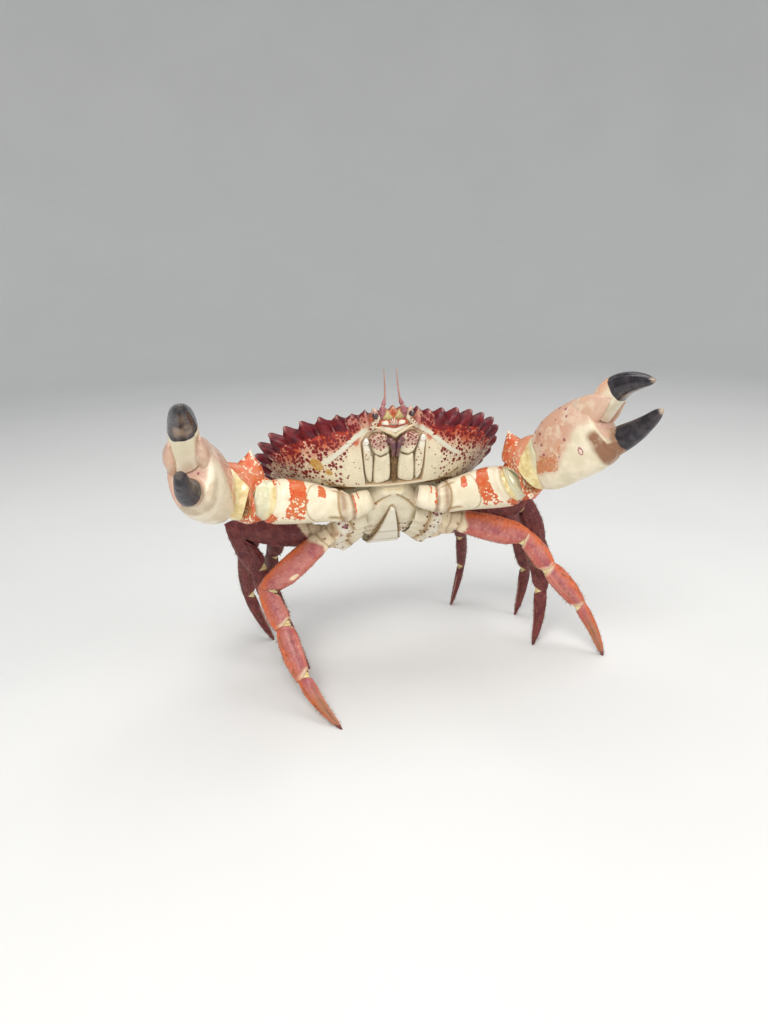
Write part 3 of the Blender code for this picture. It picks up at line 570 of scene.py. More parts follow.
def pad(outline, low, high, per=8, rings=16, crown=5.0, shape=None, place=mouth_place):
    """Domed plate over an outline; returns its skin with plan position in skin.plan."""
    edge = curve(outline, per, closed=True)
    middle = edge.mean(axis=0)
    r = np.concatenate([np.full(3, 1.0), np.linspace(1.0, 0.03, rings) ** 0.8])
    drop = np.concatenate([[0.0, 0.35, 0.7], np.ones(rings)])
    flat = middle + (edge - middle)[None] * r[:, None, None]
    top = (1.0 - np.minimum(r, 0.999) ** crown) ** 0.5
    height = low + (high - low) * np.where(drop < 1.0, drop * 0.5, 0.35 + 0.65 * top)[:, None]
    height = np.broadcast_to(height, flat.shape[:2]).copy()
    if shape is not None:
        height += shape(flat[..., 0], flat[..., 1]) * (drop[:, None] >= 1.0) * top[:, None] ** 0.5
    skin = Skin(stand(place(flat[..., 0], flat[..., 1], height)))
    skin.plan = flat
    skin.rim = np.broadcast_to(r[:, None], flat.shape[:2])
    return skin


def bristles(roots, ways, lengths, width, droop, seed, name, finish):
    """Fine tapering hairs as one piece, each with its own patch on the map."""
    roots = np.asarray(roots, float)
    n = len(roots)
    rng = np.random.default_rng(seed)
    ways = unit(np.asarray(ways, float) + rng.normal(0.0, 0.16, (n, 3)))
    lengths = np.broadcast_to(lengths, n) * rng.uniform(0.75, 1.15, n)
    helper = unit(np.cross(ways, np.array([0.31, 0.52, 0.79])))
    other = np.cross(ways, helper)
    droop = np.broadcast_to(np.asarray(droop, float), (n, 3))
    levels = ((-0.15, 1.0), (0.45, 0.75), (0.8, 0.42))
    verts = np.zeros((n, 10, 3))
    for k, (f, w) in enumerate(levels):
        middle = roots + ways * (lengths * f)[:, None] + droop * (lengths * max(f, 0) ** 2)[:, None]
        for m in range(3):
            a = 2.0 * math.pi * m / 3
            verts[:, k * 3 + m] = middle + (helper * math.cos(a) + other * math.sin(a)) * width * w
    verts[:, 9] = roots + ways * lengths[:, None] + droop * lengths[:, None]
    quads = []
    for k in (0, 1):
        for m in range(3):
            o = (m + 1) % 3
            quads.append((k * 3 + m, k * 3 + o, k * 3 + 3 + o, k * 3 + 3 + m))
    tris = [(6, 7, 9), (7, 8, 9), (8, 6, 9), (2, 1, 0)]
    base = np.arange(n)[:, None, None] * 10
    tips = np.tile(np.concatenate([np.zeros(3), np.full(3, 0.45), np.full(3, 0.8), [1.0]]), n)
    bundle = Bundle()
    quads = (np.array(quads)[None] + base).reshape(-1, 4)
    tris = (np.array(tris)[None] + base).reshape(-1, 3)
    bundle.add(verts.reshape(-1, 3), quads, tris, {"tip": tips})
    across = max(int(math.ceil(math.sqrt(n))), 1)
    cell = 0.96 / across
    index = np.arange(n)
    corner = np.stack([index % across, index // across], axis=-1) * cell + 0.02
    spot = np.array([(m * 0.001, k * 0.001) for k in range(3) for m in range(3)] + [(0.001, 0.003)])
    patches = (corner[:, None] + spot[None]).reshape(-1, 2)
    piece(bundle, name, finish, (), patches)


# materials


def socket(tree, node, name, value):
    target = node.inputs[name]
    if isinstance(value, bpy.types.NodeSocket):
        tree.links.new(value, target)
    elif hasattr(value, "__len__") and target.type == "RGBA" and len(value) == 3:
        target.default_value = (*value, 1.0)
    else:
        target.default_value = value


def node(tree, kind, inputs=None, **settings):
    made = tree.nodes.new("ShaderNode" + kind)
    for key, value in settings.items():
        setattr(made, key, value)
    for name, value in (inputs or {}).items():
        socket(tree, made, name, value)
    return made


def calc(tree, operation, a, b=0.0, c=0.0):
    return node(tree, "Math", {0: a, 1: b, 2: c}, operation=operation).outputs[0]


def span(tree, value, low, high, to_low=0.0, to_high=1.0):
    """Maps low..high to 0..1 smoothly."""
    inputs = {"Value": value, "From Min": low, "From Max": high, "To Min": to_low, "To Max": to_high}
    return node(tree, "MapRange", inputs, interpolation_type="SMOOTHSTEP").outputs[0]


def tint(tree, mask, a, b):
    made = node(tree, "Mix", {"Factor": mask}, data_type="RGBA")
    socket(tree, made, 6, a)
    socket(tree, made, 7, b)
    return made.outputs[2]


def new_group(name, inputs, outputs):
    """Empty shader group with named sockets; returns it with its two end nodes."""
    tree = bpy.data.node_groups.new(name, "ShaderNodeTree")
    kinds = {"value": "NodeSocketFloat", "colour": "NodeSocketColor", "vector": "NodeSocketVector"}
    for label, kind, default in inputs:
        made = tree.interface.new_socket(name=label, in_out="INPUT", socket_type=kinds[kind])
        if default is not None:
            made.default_value = (*default, 1.0) if kind == "colour" else default
    for label, kind in outputs:
        tree.interface.new_socket(name=label, in_out="OUTPUT", socket_type=kinds[kind])
    return tree, tree.nodes.new("NodeGroupInput"), tree.nodes.new("NodeGroupOutput")


def place_of(tree):
    """Position in the model, the same from every view."""
    return node(tree, "TexCoord").outputs["Object"]


def speckle_group():
    """Round spots that grow and run together as their amount rises."""
    inputs = [("Spacing", "value", 0.002), ("Amount", "value", 1.0), ("Softness", "value", 0.08)]
    tree, given, result = new_group("crab_speckles", inputs, [("Mask", "value")])
    amount = given.outputs["Amount"]
    softness = given.outputs["Softness"]
    where = place_of(tree)
    scale = calc(tree, "DIVIDE", 1.0, given.outputs["Spacing"])
    wobble = node(tree, "TexNoise", {"Vector": where, "Scale": 900.0, "Detail": 1.0})
    shift = node(tree, "VectorMath", {0: wobble.outputs["Color"], 1: (0.5, 0.5, 0.5)}, operation="SUBTRACT")
    shift = node(tree, "VectorMath", {0: shift.outputs[0], "Scale": 0.0003}, operation="SCALE")
    moved = node(tree, "VectorMath", {0: where, 1: shift.outputs[0]}, operation="ADD")
    cells = node(tree, "TexVoronoi", {"Vector": moved.outputs[0], "Scale": scale, "Randomness": 1.0})
    parts = node(tree, "SeparateColor", {"Color": cells.outputs["Color"]})
    radius = calc(tree, "MULTIPLY_ADD", parts.outputs[0], 0.3, 0.2)
    radius = calc(tree, "MULTIPLY", radius, calc(tree, "MULTIPLY_ADD", amount, 0.7, 0.45))
    kept = calc(tree, "GREATER_THAN", calc(tree, "MULTIPLY", amount, 1.1), parts.outputs[1])
    radius = calc(tree, "MULTIPLY", radius, kept)
    inside = calc(tree, "SUBTRACT", radius, cells.outputs["Distance"])
    low = calc(tree, "MULTIPLY", softness, -1.0)
    mask = node(tree, "MapRange", {"Value": inside, "From Min": low, "From Max": softness})
    tree.links.new(mask.outputs[0], result.inputs["Mask"])
    return tree


def mottle_group():
    """Soft cloudy change between two colours."""
    inputs = [
        ("First", "colour", (0.8, 0.7, 0.5)), ("Second", "colour", (0.6, 0.5, 0.3)),
        ("Size", "value", 0.01), ("Contrast", "value", 1.0),
    ]
    tree, given, result = new_group("crab_mottle", inputs, [("Color", "colour"), ("Cloud", "value")])
    where = place_of(tree)
    scale = calc(tree, "DIVIDE", 1.0, given.outputs["Size"])
    cloud = node(tree, "TexNoise", {"Vector": where, "Scale": scale, "Detail": 4.0, "Roughness": 0.6})
    centred = calc(tree, "SUBTRACT", cloud.outputs["Fac"], 0.5)
    spread = calc(tree, "MULTIPLY_ADD", centred, given.outputs["Contrast"], 0.5)
    mask = span(tree, spread, 0.3, 0.7)
    shade = tint(tree, mask, given.outputs["First"], given.outputs["Second"])
    tree.links.new(shade, result.inputs["Color"])
    tree.links.new(mask, result.inputs["Cloud"])
    return tree


def patch_group():
    """Ragged patch: its edge breaks into holes and crumbs where the given mask fades."""
    inputs = [("Mask", "value", 0.0), ("Grain", "value", 0.0018), ("Break", "value", 0.5)]
    tree, given, result = new_group("crab_patch", inputs, [("Mask", "value")])
    where = place_of(tree)
    scale = calc(tree, "DIVIDE", 1.0, given.outputs["Grain"])
    cells = node(tree, "TexVoronoi", {"Vector": where, "Scale": scale})
    crumb = node(tree, "TexNoise", {"Vector": where, "Scale": scale, "Detail": 3.0, "Roughness": 0.6})
    both = calc(tree, "MULTIPLY", crumb.outputs["Fac"], 1.1)
    both = calc(tree, "SUBTRACT", calc(tree, "ADD", both, cells.outputs["Distance"]), 1.0)
    both = calc(tree, "MULTIPLY", both, given.outputs["Break"])
    total = calc(tree, "ADD", given.outputs["Mask"], both)
    edge = span(tree, total, 0.44, 0.56)
    edge = calc(tree, "MULTIPLY", edge, calc(tree, "GREATER_THAN", given.outputs["Mask"], 0.02))
    tree.links.new(edge, result.inputs["Mask"])
    return tree


def grain_group():
    """Small pits and granules for the bump of a shell."""
    inputs = [("Size", "value", 0.001), ("Granules", "value", 0.5), ("Pits", "value", 0.3)]
    tree, given, result = new_group("crab_grain", inputs, [("Height", "value")])
    where = place_of(tree)
    scale = calc(tree, "DIVIDE", 1.0, given.outputs["Size"])
    cells = node(tree, "TexVoronoi", {"Vector": where, "Scale": scale})
    bump = span(tree, cells.outputs["Distance"], 0.6, 0.1)
    bump = calc(tree, "MULTIPLY", bump, given.outputs["Granules"])
    finer = calc(tree, "MULTIPLY", scale, 1.9)
    fine = node(tree, "TexNoise", {"Vector": where, "Scale": finer, "Detail": 3.0})
    fine = calc(tree, "MULTIPLY", fine.outputs["Fac"], given.outputs["Pits"])
    tree.links.new(calc(tree, "ADD", bump, fine), result.inputs["Height"])
    return tree


GROUPS = {}


def use(tree, group, inputs):
    made = tree.nodes.new("ShaderNodeGroup")
    made.node_tree = GROUPS[group]
    for name, value in inputs.items():
        socket(tree, made, name, value)
    return made


def mark_of(tree, name):
    return node(tree, "Attribute", attribute_name=name).outputs["Fac"]


def principled(name, roughness=0.4, coat=0.0, **fixed):
    mat = bpy.data.materials.new(name)
    mat.use_nodes = True
    tree = mat.node_tree
    shader = tree.nodes["Principled BSDF"]
    shader.inputs["Roughness"].default_value = roughness
    shader.inputs["Coat Weight"].default_value = coat
    shader.inputs["Coat Roughness"].default_value = 0.12
    for key, value in fixed.items():
        shader.inputs[key.replace("_", " ")].default_value = value
    return mat, tree, shader


# cloudy markings of a shell: the second tone of each, with the size and contrast of its clouds
CLOUDS = {
    "base": ("second", 0.009, 1.6),
    "back": ("back_second", 0.006, 2.4),
    "flush": ("flush_second", 0.004, 2.0),
    "dark": ("dark_second", 0.005, 2.0),
}

# thin markings that follow the clouds of the base: the cloud values between which each comes up
VEILS = {"film": (-1.4, 0.9), "wash": (-0.7, 0.7), "blush": (-0.5, 0.8)}

# the markings in the order in which they lie over each other
LAYERS = ("back", "pale", "film", "wash", "flush", "blush", "spot", "dark", "stain", "worn", "seam")


def cloudy(tree, looks, name):
    second, size, contrast = CLOUDS[name]
    tones = {"First": looks[name], "Second": looks[second], "Size": size, "Contrast": contrast}
    return use(tree, "mottle", tones)


def layer_mask(tree, name, looks, cloud, spot_gap):
    """Where one marking of a shell shows, from 0 to 1."""
    mark = mark_of(tree, "spots" if name == "spot" else name)
    if name in VEILS:
        return calc(tree, "MULTIPLY", mark, span(tree, cloud, *VEILS[name]))
    if name == "flush":
        patch = use(tree, "patch", {"Mask": mark, "Grain": 0.0018, "Break": looks.get("break", 0.6)})
        return patch.outputs["Mask"]
    if name == "stain":
        stain = use(tree, "patch", {"Mask": mark, "Grain": 0.002, "Break": 0.35})
        return calc(tree, "MULTIPLY", stain.outputs["Mask"], 0.85)
    if name == "spot":
        large = use(tree, "speckles", {"Spacing": spot_gap, "Amount": mark, "Softness": 0.07})
        small = use(tree, "speckles", {"Spacing": spot_gap * 0.55, "Amount": mark, "Softness": 0.1})
        faint = calc(tree, "MULTIPLY", small.outputs["Mask"], 0.25)
        return calc(tree, "MAXIMUM", large.outputs["Mask"], faint)
    if name == "dark":
        ragged = calc(tree, "MULTIPLY_ADD", cloud, 0.25, mark)
        return calc(tree, "MULTIPLY", span(tree, ragged, 0.42, 0.8), calc(tree, "GREATER_THAN", mark, 0.03))
    return mark


def shell_material(name, looks, coat=0.25, low_gloss=0.28, high_gloss=0.5, grain=(0.001, 0.5, 0.3),
                   relief=0.00012, spot_gap=0.0021, shine=0.3):
    """Shell with its base tone and the markings that the piece's masks place on it."""
    mat, tree, shader = principled(name, coat=coat, Specular_IOR_Level=shine)
    base = cloudy(tree, looks, "base")
    colour = base.outputs["Color"]
    cloud = base.outputs["Cloud"]
    for layer in LAYERS:
        if layer in looks:
            tone = cloudy(tree, looks, layer).outputs["Color"] if layer in CLOUDS else looks[layer]
            colour = tint(tree, layer_mask(tree, layer, looks, cloud, spot_gap), colour, tone)
    socket(tree, shader, "Base Color", colour)
    dull = calc(tree, "MULTIPLY", mark_of(tree, "film"), 0.7)
    dull = calc(tree, "MAXIMUM", mark_of(tree, "seam"), dull)
    gloss = span(tree, cloud, 0.0, 1.0, low_gloss, high_gloss)
    socket(tree, shader, "Roughness", calc(tree, "MULTIPLY_ADD", dull, 0.3, gloss))
    height = use(tree, "grain", {"Size": grain[0], "Granules": grain[1], "Pits": grain[2]})
    bump = node(tree, "Bump", {"Height": height.outputs["Height"], "Strength": 1.0, "Distance": relief})
    socket(tree, shader, "Normal", bump.outputs[0])
    return mat


def hair_material(name, root, tip):
    mat, tree, shader = principled(name, roughness=0.55)
    deep = tuple(c * 0.6 for c in root)
    shade = use(tree, "mottle", {"First": root, "Second": deep, "Size": 0.003, "Contrast": 2.0})
    colour = tint(tree, span(tree, mark_of(tree, "tip"), 0.2, 1.0), shade.outputs["Color"], tip)
    socket(tree, shader, "Base Color", colour)
    return mat


def membrane_material(name, first, second):
    mat, tree, shader = principled(name, coat=1.0, Subsurface_Weight=0.25)
    shader.inputs["Subsurface Radius"].default_value = (0.003, 0.0015, 0.0006)
    shader.inputs["Subsurface Scale"].default_value = 1.0
    shade = use(tree, "mottle", {"First": first, "Second": second, "Size": 0.0035, "Contrast": 1.8})
    colour = tint(tree, mark_of(tree, "film"), shade.outputs["Color"], (0.62, 0.6, 0.42))
    # brown lines of the claw joint skins, and painted shade in the fold creases of the leg joint skins
    colour = tint(tree, mark_of(tree, "seam"), colour, (0.32, 0.2, 0.08))
    socket(tree, shader, "Base Color", colour)
    socket(tree, shader, "Roughness", span(tree, shade.outputs["Cloud"], 0.0, 1.0, 0.22, 0.4))
    noise = {"Vector": place_of(tree), "Scale": 420.0, "Detail": 3.0, "Distortion": 1.5}
    folds = node(tree, "TexNoise", noise)
    bump = node(tree, "Bump", {"Height": folds.outputs["Fac"], "Strength": 1.0, "Distance": 0.00025})
    socket(tree, shader, "Normal", bump.outputs[0])
    return mat


MATERIALS = {}


def eye_material():
    mat, tree, shader = principled("eye_dark", coat=1.0)
    tones = {"First": (0.05, 0.008, 0.014), "Second": (0.012, 0.004, 0.006), "Size": 0.002}
    shade = use(tree, "mottle", tones)
    # pale at the eye's base, with a painted highlight over its upper side
    rim = tint(tree, mark_of(tree, "worn"), shade.outputs["Color"], (0.55, 0.33, 0.24))
    socket(tree, shader, "Base Color", rim)
    socket(tree, shader, "Roughness", span(tree, shade.outputs["Cloud"], 0.0, 1.0, 0.08, 0.2))
    return mat


def body_materials(colours):
    """Finishes of the shell, the breastplate, the mouth and the face."""
    cream = tuple(colours.cream)
    ivory = tuple(c * 0.92 for c in cream)
    shell = {
        "base": cream, "second": ivory, "back": (0.2, 0.032, 0.018), "back_second": (0.32, 0.085, 0.045),
        "pale": (0.62, 0.6, 0.48), "film": (0.26, 0.16, 0.065), "wash": (0.5, 0.1, 0.04),
        "flush": (0.4, 0.035, 0.014), "flush_second": (0.26, 0.022, 0.014), "break": 1.15,
        "blush": (0.45, 0.17, 0.14), "spot": (0.17, 0.013, 0.015), "dark": tuple(colours.maroon),
        # the worn tone also paints the glint at the tips of the teeth
        "dark_second": (0.15, 0.012, 0.016), "stain": (0.46, 0.26, 0.05), "worn": (0.62, 0.36, 0.3),
        # the seam tone also paints the shade over the sunken mouth seat and in the slots
        "seam": (0.3, 0.15, 0.05),
    }
    breast = {
        "base": (0.77, 0.69, 0.52), "second": cream, "pale": (0.84, 0.8, 0.7), "film": (0.5, 0.32, 0.12),
        "flush": (0.45, 0.09, 0.04), "flush_second": (0.3, 0.05, 0.03), "blush": (0.24, 0.05, 0.1),
        "spot": (0.16, 0.02, 0.02), "seam": tuple(colours.suture),
    }
    jaw = dict(breast, base=cream, second=ivory, seam=(0.36, 0.2, 0.08), blush=(0.42, 0.19, 0.17),
               spot=(0.22, 0.03, 0.03))
    palp = dict(jaw, base=(0.19, 0.07, 0.08), second=(0.1, 0.03, 0.045))
    feeler = dict(breast, base=(0.4, 0.15, 0.16), second=(0.28, 0.08, 0.09), worn=(0.75, 0.6, 0.42))
    olive = dict(breast, base=(0.5, 0.42, 0.18), second=(0.36, 0.26, 0.1), worn=(0.75, 0.62, 0.4))
    return {
        "shell": shell_material("shell_red_and_cream", shell, coat=0.06, shine=0.22, low_gloss=0.34,
                                high_gloss=0.52, grain=(0.0013, 0.35, 0.35), spot_gap=0.0022, relief=0.0001),
        "breast": shell_material("breast_ivory", breast, grain=(0.0014, 0.15, 0.4), spot_gap=0.0024),
        "jaw": shell_material("jaw_cream", jaw, grain=(0.0009, 0.15, 0.4), spot_gap=0.0015),
        "palp": shell_material("palp_purple", palp, coat=0.6, low_gloss=0.15, high_gloss=0.35),
        "feeler": shell_material("feeler_mauve", feeler, coat=0.5, grain=(0.0006, 0.3, 0.3)),
        "olive": shell_material("face_olive", olive, coat=0.6, low_gloss=0.15, high_gloss=0.3),
    }


def limb_materials(colours):
    """Finishes of the claws and the walking legs."""
    orange = tuple(colours.leg_orange)
    arm = {
        "base": tuple(colours.claw_cream), "second": tuple(colours.cream), "seam": tuple(colours.suture),
        "back": (0.3, 0.06, 0.035), "back_second": (0.42, 0.13, 0.07), "film": (0.28, 0.14, 0.07),
        "flush": tuple(colours.rust), "flush_second": (0.58, 0.16, 0.055), "break": 1.05,
        "blush": (0.56, 0.27, 0.16), "spot": (0.3, 0.08, 0.1), "worn": (0.72, 0.55, 0.4),
    }
    palm = dict(
        arm, dark=tuple(colours.finger_black), dark_second=(0.045, 0.036, 0.042), wash=(0.6, 0.33, 0.22),
        flush=(0.56, 0.2, 0.085), flush_second=(0.56, 0.25, 0.12), blush=(0.64, 0.42, 0.34),
        film=(0.27, 0.13, 0.07), stain=(0.4, 0.12, 0.16),
    )
    palm["break"] = 0.6
    finger = dict(palm, wash=(0.76, 0.4, 0.24), worn=(0.34, 0.24, 0.17))
    leg = {
        "base": tuple(colours.leg_pink), "second": (0.36, 0.09, 0.1), "wash": orange, "flush": orange,
        "flush_second": (0.42, 0.085, 0.04), "pale": (0.8, 0.66, 0.45), "seam": (0.3, 0.16, 0.07),
        "dark": (0.12, 0.02, 0.022), "dark_second": (0.19, 0.04, 0.036), "spot": (0.2, 0.03, 0.03),
        "worn": (0.76, 0.5, 0.38), "film": (0.34, 0.16, 0.07), "break": 0.5,
    }
    return {
        "arm": shell_material("arm_cream_and_rust", arm, coat=0.2, grain=(0.0012, 0.25, 0.35)),
        "palm": shell_material("palm_tan_and_cream", palm, coat=0.3, grain=(0.0011, 0.2, 0.35),
                               spot_gap=0.0035),
        "finger": shell_material("finger_black", finger, coat=0.5, low_gloss=0.14, high_gloss=0.3,
                                 grain=(0.0012, 0.1, 0.3), relief=0.00006),
        "leg": shell_material("leg_pink_and_rust", leg, coat=0.12, low_gloss=0.34, high_gloss=0.55,
                              grain=(0.0008, 0.9, 0.35), relief=0.0002),
    }


def make_materials(colours):
    """Every finish, from the panel's colours and the tones that go with them."""
    GROUPS["speckles"] = speckle_group()
    GROUPS["mottle"] = mottle_group()
    GROUPS["patch"] = patch_group()
    GROUPS["grain"] = grain_group()
    MATERIALS.update(body_materials(colours))
    MATERIALS.update(limb_materials(colours))
    MATERIALS["eye"] = eye_material()
    MATERIALS["membrane"] = membrane_material("joint_skin", tuple(colours.membrane), (0.66, 0.5, 0.2))
    MATERIALS["gold_hair"] = hair_material("hair_gold", (0.36, 0.2, 0.07), (0.55, 0.38, 0.18))
    MATERIALS["brown_hair"] = hair_material("hair_brown", (0.2, 0.095, 0.035), (0.5, 0.32, 0.14))


# shell


def tooth_points():
    """Left half of the margin: its points from the front to the rear, the tips and the valleys."""
    points = [np.array(FRONT_TEETH[0])]
    for i in range(1, len(FRONT_TEETH)):
        a = np.array(FRONT_TEETH[i - 1])
        b = np.array(FRONT_TEETH[i])
        points.append((a + b) / 2 + np.array([0.0, 1.9]))
        points.append(b)
    points += [np.array([11.4, -49.2]), np.array(ORBIT), np.array([14.6, -48.6])]
    centre = np.array(SHELL_CENTRE)
    tips = []
    valleys = [np.array([14.6, -48.6])]
    before = valleys[0]
    for i, tip in enumerate(SIDE_TEETH):
        tip = np.array(tip)
        after = np.array(SIDE_TEETH[i + 1]) if i + 1 < len(SIDE_TEETH) else np.array(REAR_EDGE[0])
        out = unit((tip + after) / 2 - centre)
        depth = TOOTH_DEPTH[i]
        valley = tip + (after - tip) * 0.68 - out * depth * 1.75
        points.append(before + (tip - before) * 0.26 + out * depth * 0.42)
        points.append(before + (tip - before) * 0.7 + out * depth * 0.2)
        points.append(tip + out * 0.5)
        points.append(tip + (valley - tip) * 0.3 + out * depth * 0.2)
        points.append(tip + (valley - tip) * 0.7 + out * depth * 0.4)
        points.append(valley)
        tips.append(tip)
        valleys.append(valley)
        before = valley
    points += [np.array(p) for p in REAR_EDGE] + [np.array([0.0, 53.4])]
    return points, tips, valleys


# the margin: steps between its points, the point of the first notch beside the eye, points to a tooth
MARGIN_STEPS = 4
FIRST_NOTCH = 7
TOOTH_POINTS = 6

# how far a tooth reaches in over the shell, and how many teeth beside the eye are mauve below
TOOTH_SPAN = 6.4
MAUVE_TEETH = 2


def margin():
    """Toothed margin, the smooth line inside it, the gaps to a tip and a valley, and the tooth's number."""
    half, tips, valleys = tooth_points()
    loop = half + [np.array([-p[0], p[1]]) for p in reversed(half[1:-1])]
    fine = curve(loop, MARGIN_STEPS, closed=True)
    smooth = fine.copy()
    for _ in range(260):
        smooth = 0.5 * smooth + 0.25 * (np.roll(smooth, 1, axis=0) + np.roll(smooth, -1, axis=0))
    centre = np.array(SHELL_CENTRE)
    smooth = centre + (smooth - centre) * 0.985
    folded = np.stack([np.abs(fine[:, 0]), fine[:, 1]], axis=-1)
    near_tip = np.min([np.linalg.norm(folded - p, axis=1) for p in tips], axis=0)
    near_valley = np.min([np.linalg.norm(folded - p, axis=1) for p in valleys], axis=0)
    place = np.arange(len(fine))
    place = np.minimum(place, len(fine) - place) / MARGIN_STEPS
    tooth = (place - FIRST_NOTCH) / TOOTH_POINTS
    return fine, smooth, near_tip, near_valley, tooth


def rim_height(x, y):
    lift = SIDE_LIFT * (np.abs(x) / 80.0) ** 1.4
    return lift - REAR_DROP * ease(0.0, 52.0, y)


def back_height(r, x, y):
    base = rim_height(x, y) * r ** 2 + SHELL_DOME * np.clip(1.0 - r ** 2.4, 0, 1) ** 0.85
    swell = 1.6 * bell(x, 0.0, 20.0) * bell(y, -22.0, 16.0)
    swell += 1.2 * bell(np.abs(x), 40.0, 18.0) * bell(y, 6.0, 20.0)
    swell += 1.0 * bell(x, 0.0, 13.0) * bell(y, 22.0, 10.0)
    return base + swell * ease(1.0, 0.8, r)


def belly_height(r, x, y):
    flank = rim_height(x, y) * r ** 2 - SHELL_DEPTH * (1.0 - r ** 2.2)
    shelf = SHELF_Z - CHEEK_DROP * ease(CHEEK_Y[1], CHEEK_Y[0], y)
    return np.maximum(flank, shelf)


# grooves that part the regions of the back, as half lines mirrored over the middle
BACK_GROOVES = (
    (
        (8.0, -44.0), (14.0, -36.0), (21.0, -30.0), (27.0, -20.0),
        (24.0, -8.0), (17.0, 0.0), (10.0, 4.0), (0.0, 5.5),
    ),
    ((10.0, 4.0), (8.5, 12.0), (11.0, 20.0), (15.0, 28.0), (17.0, 38.0)),
    ((27.0, -20.0), (38.0, -24.0), (50.0, -24.0), (62.0, -20.0)),
    ((0.0, -46.0), (0.0, -36.0)),
    ((8.5, 13.0), (0.0, 15.0)),
    ((17.0, 38.0), (8.0, 41.0), (0.0, 42.0)),
)

# pale seam under the shell from the mouth corner to the side corner
PLEURA = (
    (13.5, -45.6), (18.5, -43.0), (25.0, -38.6), (33.0, -32.4), (41.2, -25.8),
    (50.0, -19.6), (59.5, -13.4), (70.0, -6.0), (76.0, 2.0),
)

# mustard stains: place and size
STAINS = ((-46.5, -22.4, 3.6), (-39.6, -20.6, 2.0))

# sunken slot over each claw base, filled with painted shade: place and half size
SLOT_AT = (31.5, -7.0)
SLOT_HALF = (9.5, 2.3)

# row of short hair behind each slot: how far out it starts and ends, its place and its slant
FRINGE_X = (20.0, 44.0)
FRINGE_Y = -13.4
FRINGE_SLANT = 0.1


def mouth_outline():
    """Half width of the mouth field against the way along it."""
    return ((17.6, 0.0), (18.9, 9.4), (19.5, 17.6), (20.2, 26.6), (16.0, mouth_frame()[2]))


def mouth_depth(p):
    """How far inside the mouth field's outline a body point lies, how far off its seat, and how far along."""
    rear, run, length, normal = mouth_frame()
    s = (p - rear) @ run
    off = (p - rear) @ normal
    edge = np.array(mouth_outline())
    half = np.interp(s, edge[:, 1], edge[:, 0])
    inside = np.minimum(half - np.abs(p[..., 0]), np.minimum(s, length - s))
    return inside, off, s


def tooth_relief(sizes, upper, inward, lobe, near_valley, toothed):
    """Rounded lobes of the teeth with creases between them, above and below the margin."""
    notch = bell(near_valley, 0.0, 0.95) * toothed
    reach = inward + 2.2 * (1.0 - lobe)
    pebble = ease(-0.1, 1.6, inward) * ease(TOOTH_SPAN * 0.95, TOOTH_SPAN * 0.3, reach)
    crease = ease(-0.3, 0.6, inward) * ease(TOOTH_SPAN * 0.6, TOOTH_SPAN * 0.15, inward)
    swell = np.where(upper, 0.6, 1.25) * lobe * pebble - np.where(upper, 0.7, 0.9) * notch * crease
    return np.where(upper, 1.0, -1.0) * swell * sizes.tooth_swell


def back_relief(x, y, z, r, upper):
    """Height with the grooves and soft lumps of the back worked in, and the grooves' mask."""
    folded = np.stack([np.abs(x), y], axis=-1)
    grooves = np.zeros_like(x)
    for k, line in enumerate(BACK_GROOVES):
        gap, _ = away(folded, curve(line, 4))
        width, share = (1.7, 1.0) if k < 3 else (1.2, 0.6)
        grooves = np.maximum(grooves, bell(gap, 0.0, width) * share)
    z = np.where(upper, z - grooves * 1.15 * ease(1.0, 0.85, r), z)
    body = np.stack([x, y, z], axis=-1)
    lump = lumps(body, 9.0, 3) * 0.35 + lumps(body, 4.5, 5) * 0.2
    return z + np.where(upper, lump * ease(1.0, 0.9, r) * ease(0.0, 0.2, r), 0.0), grooves


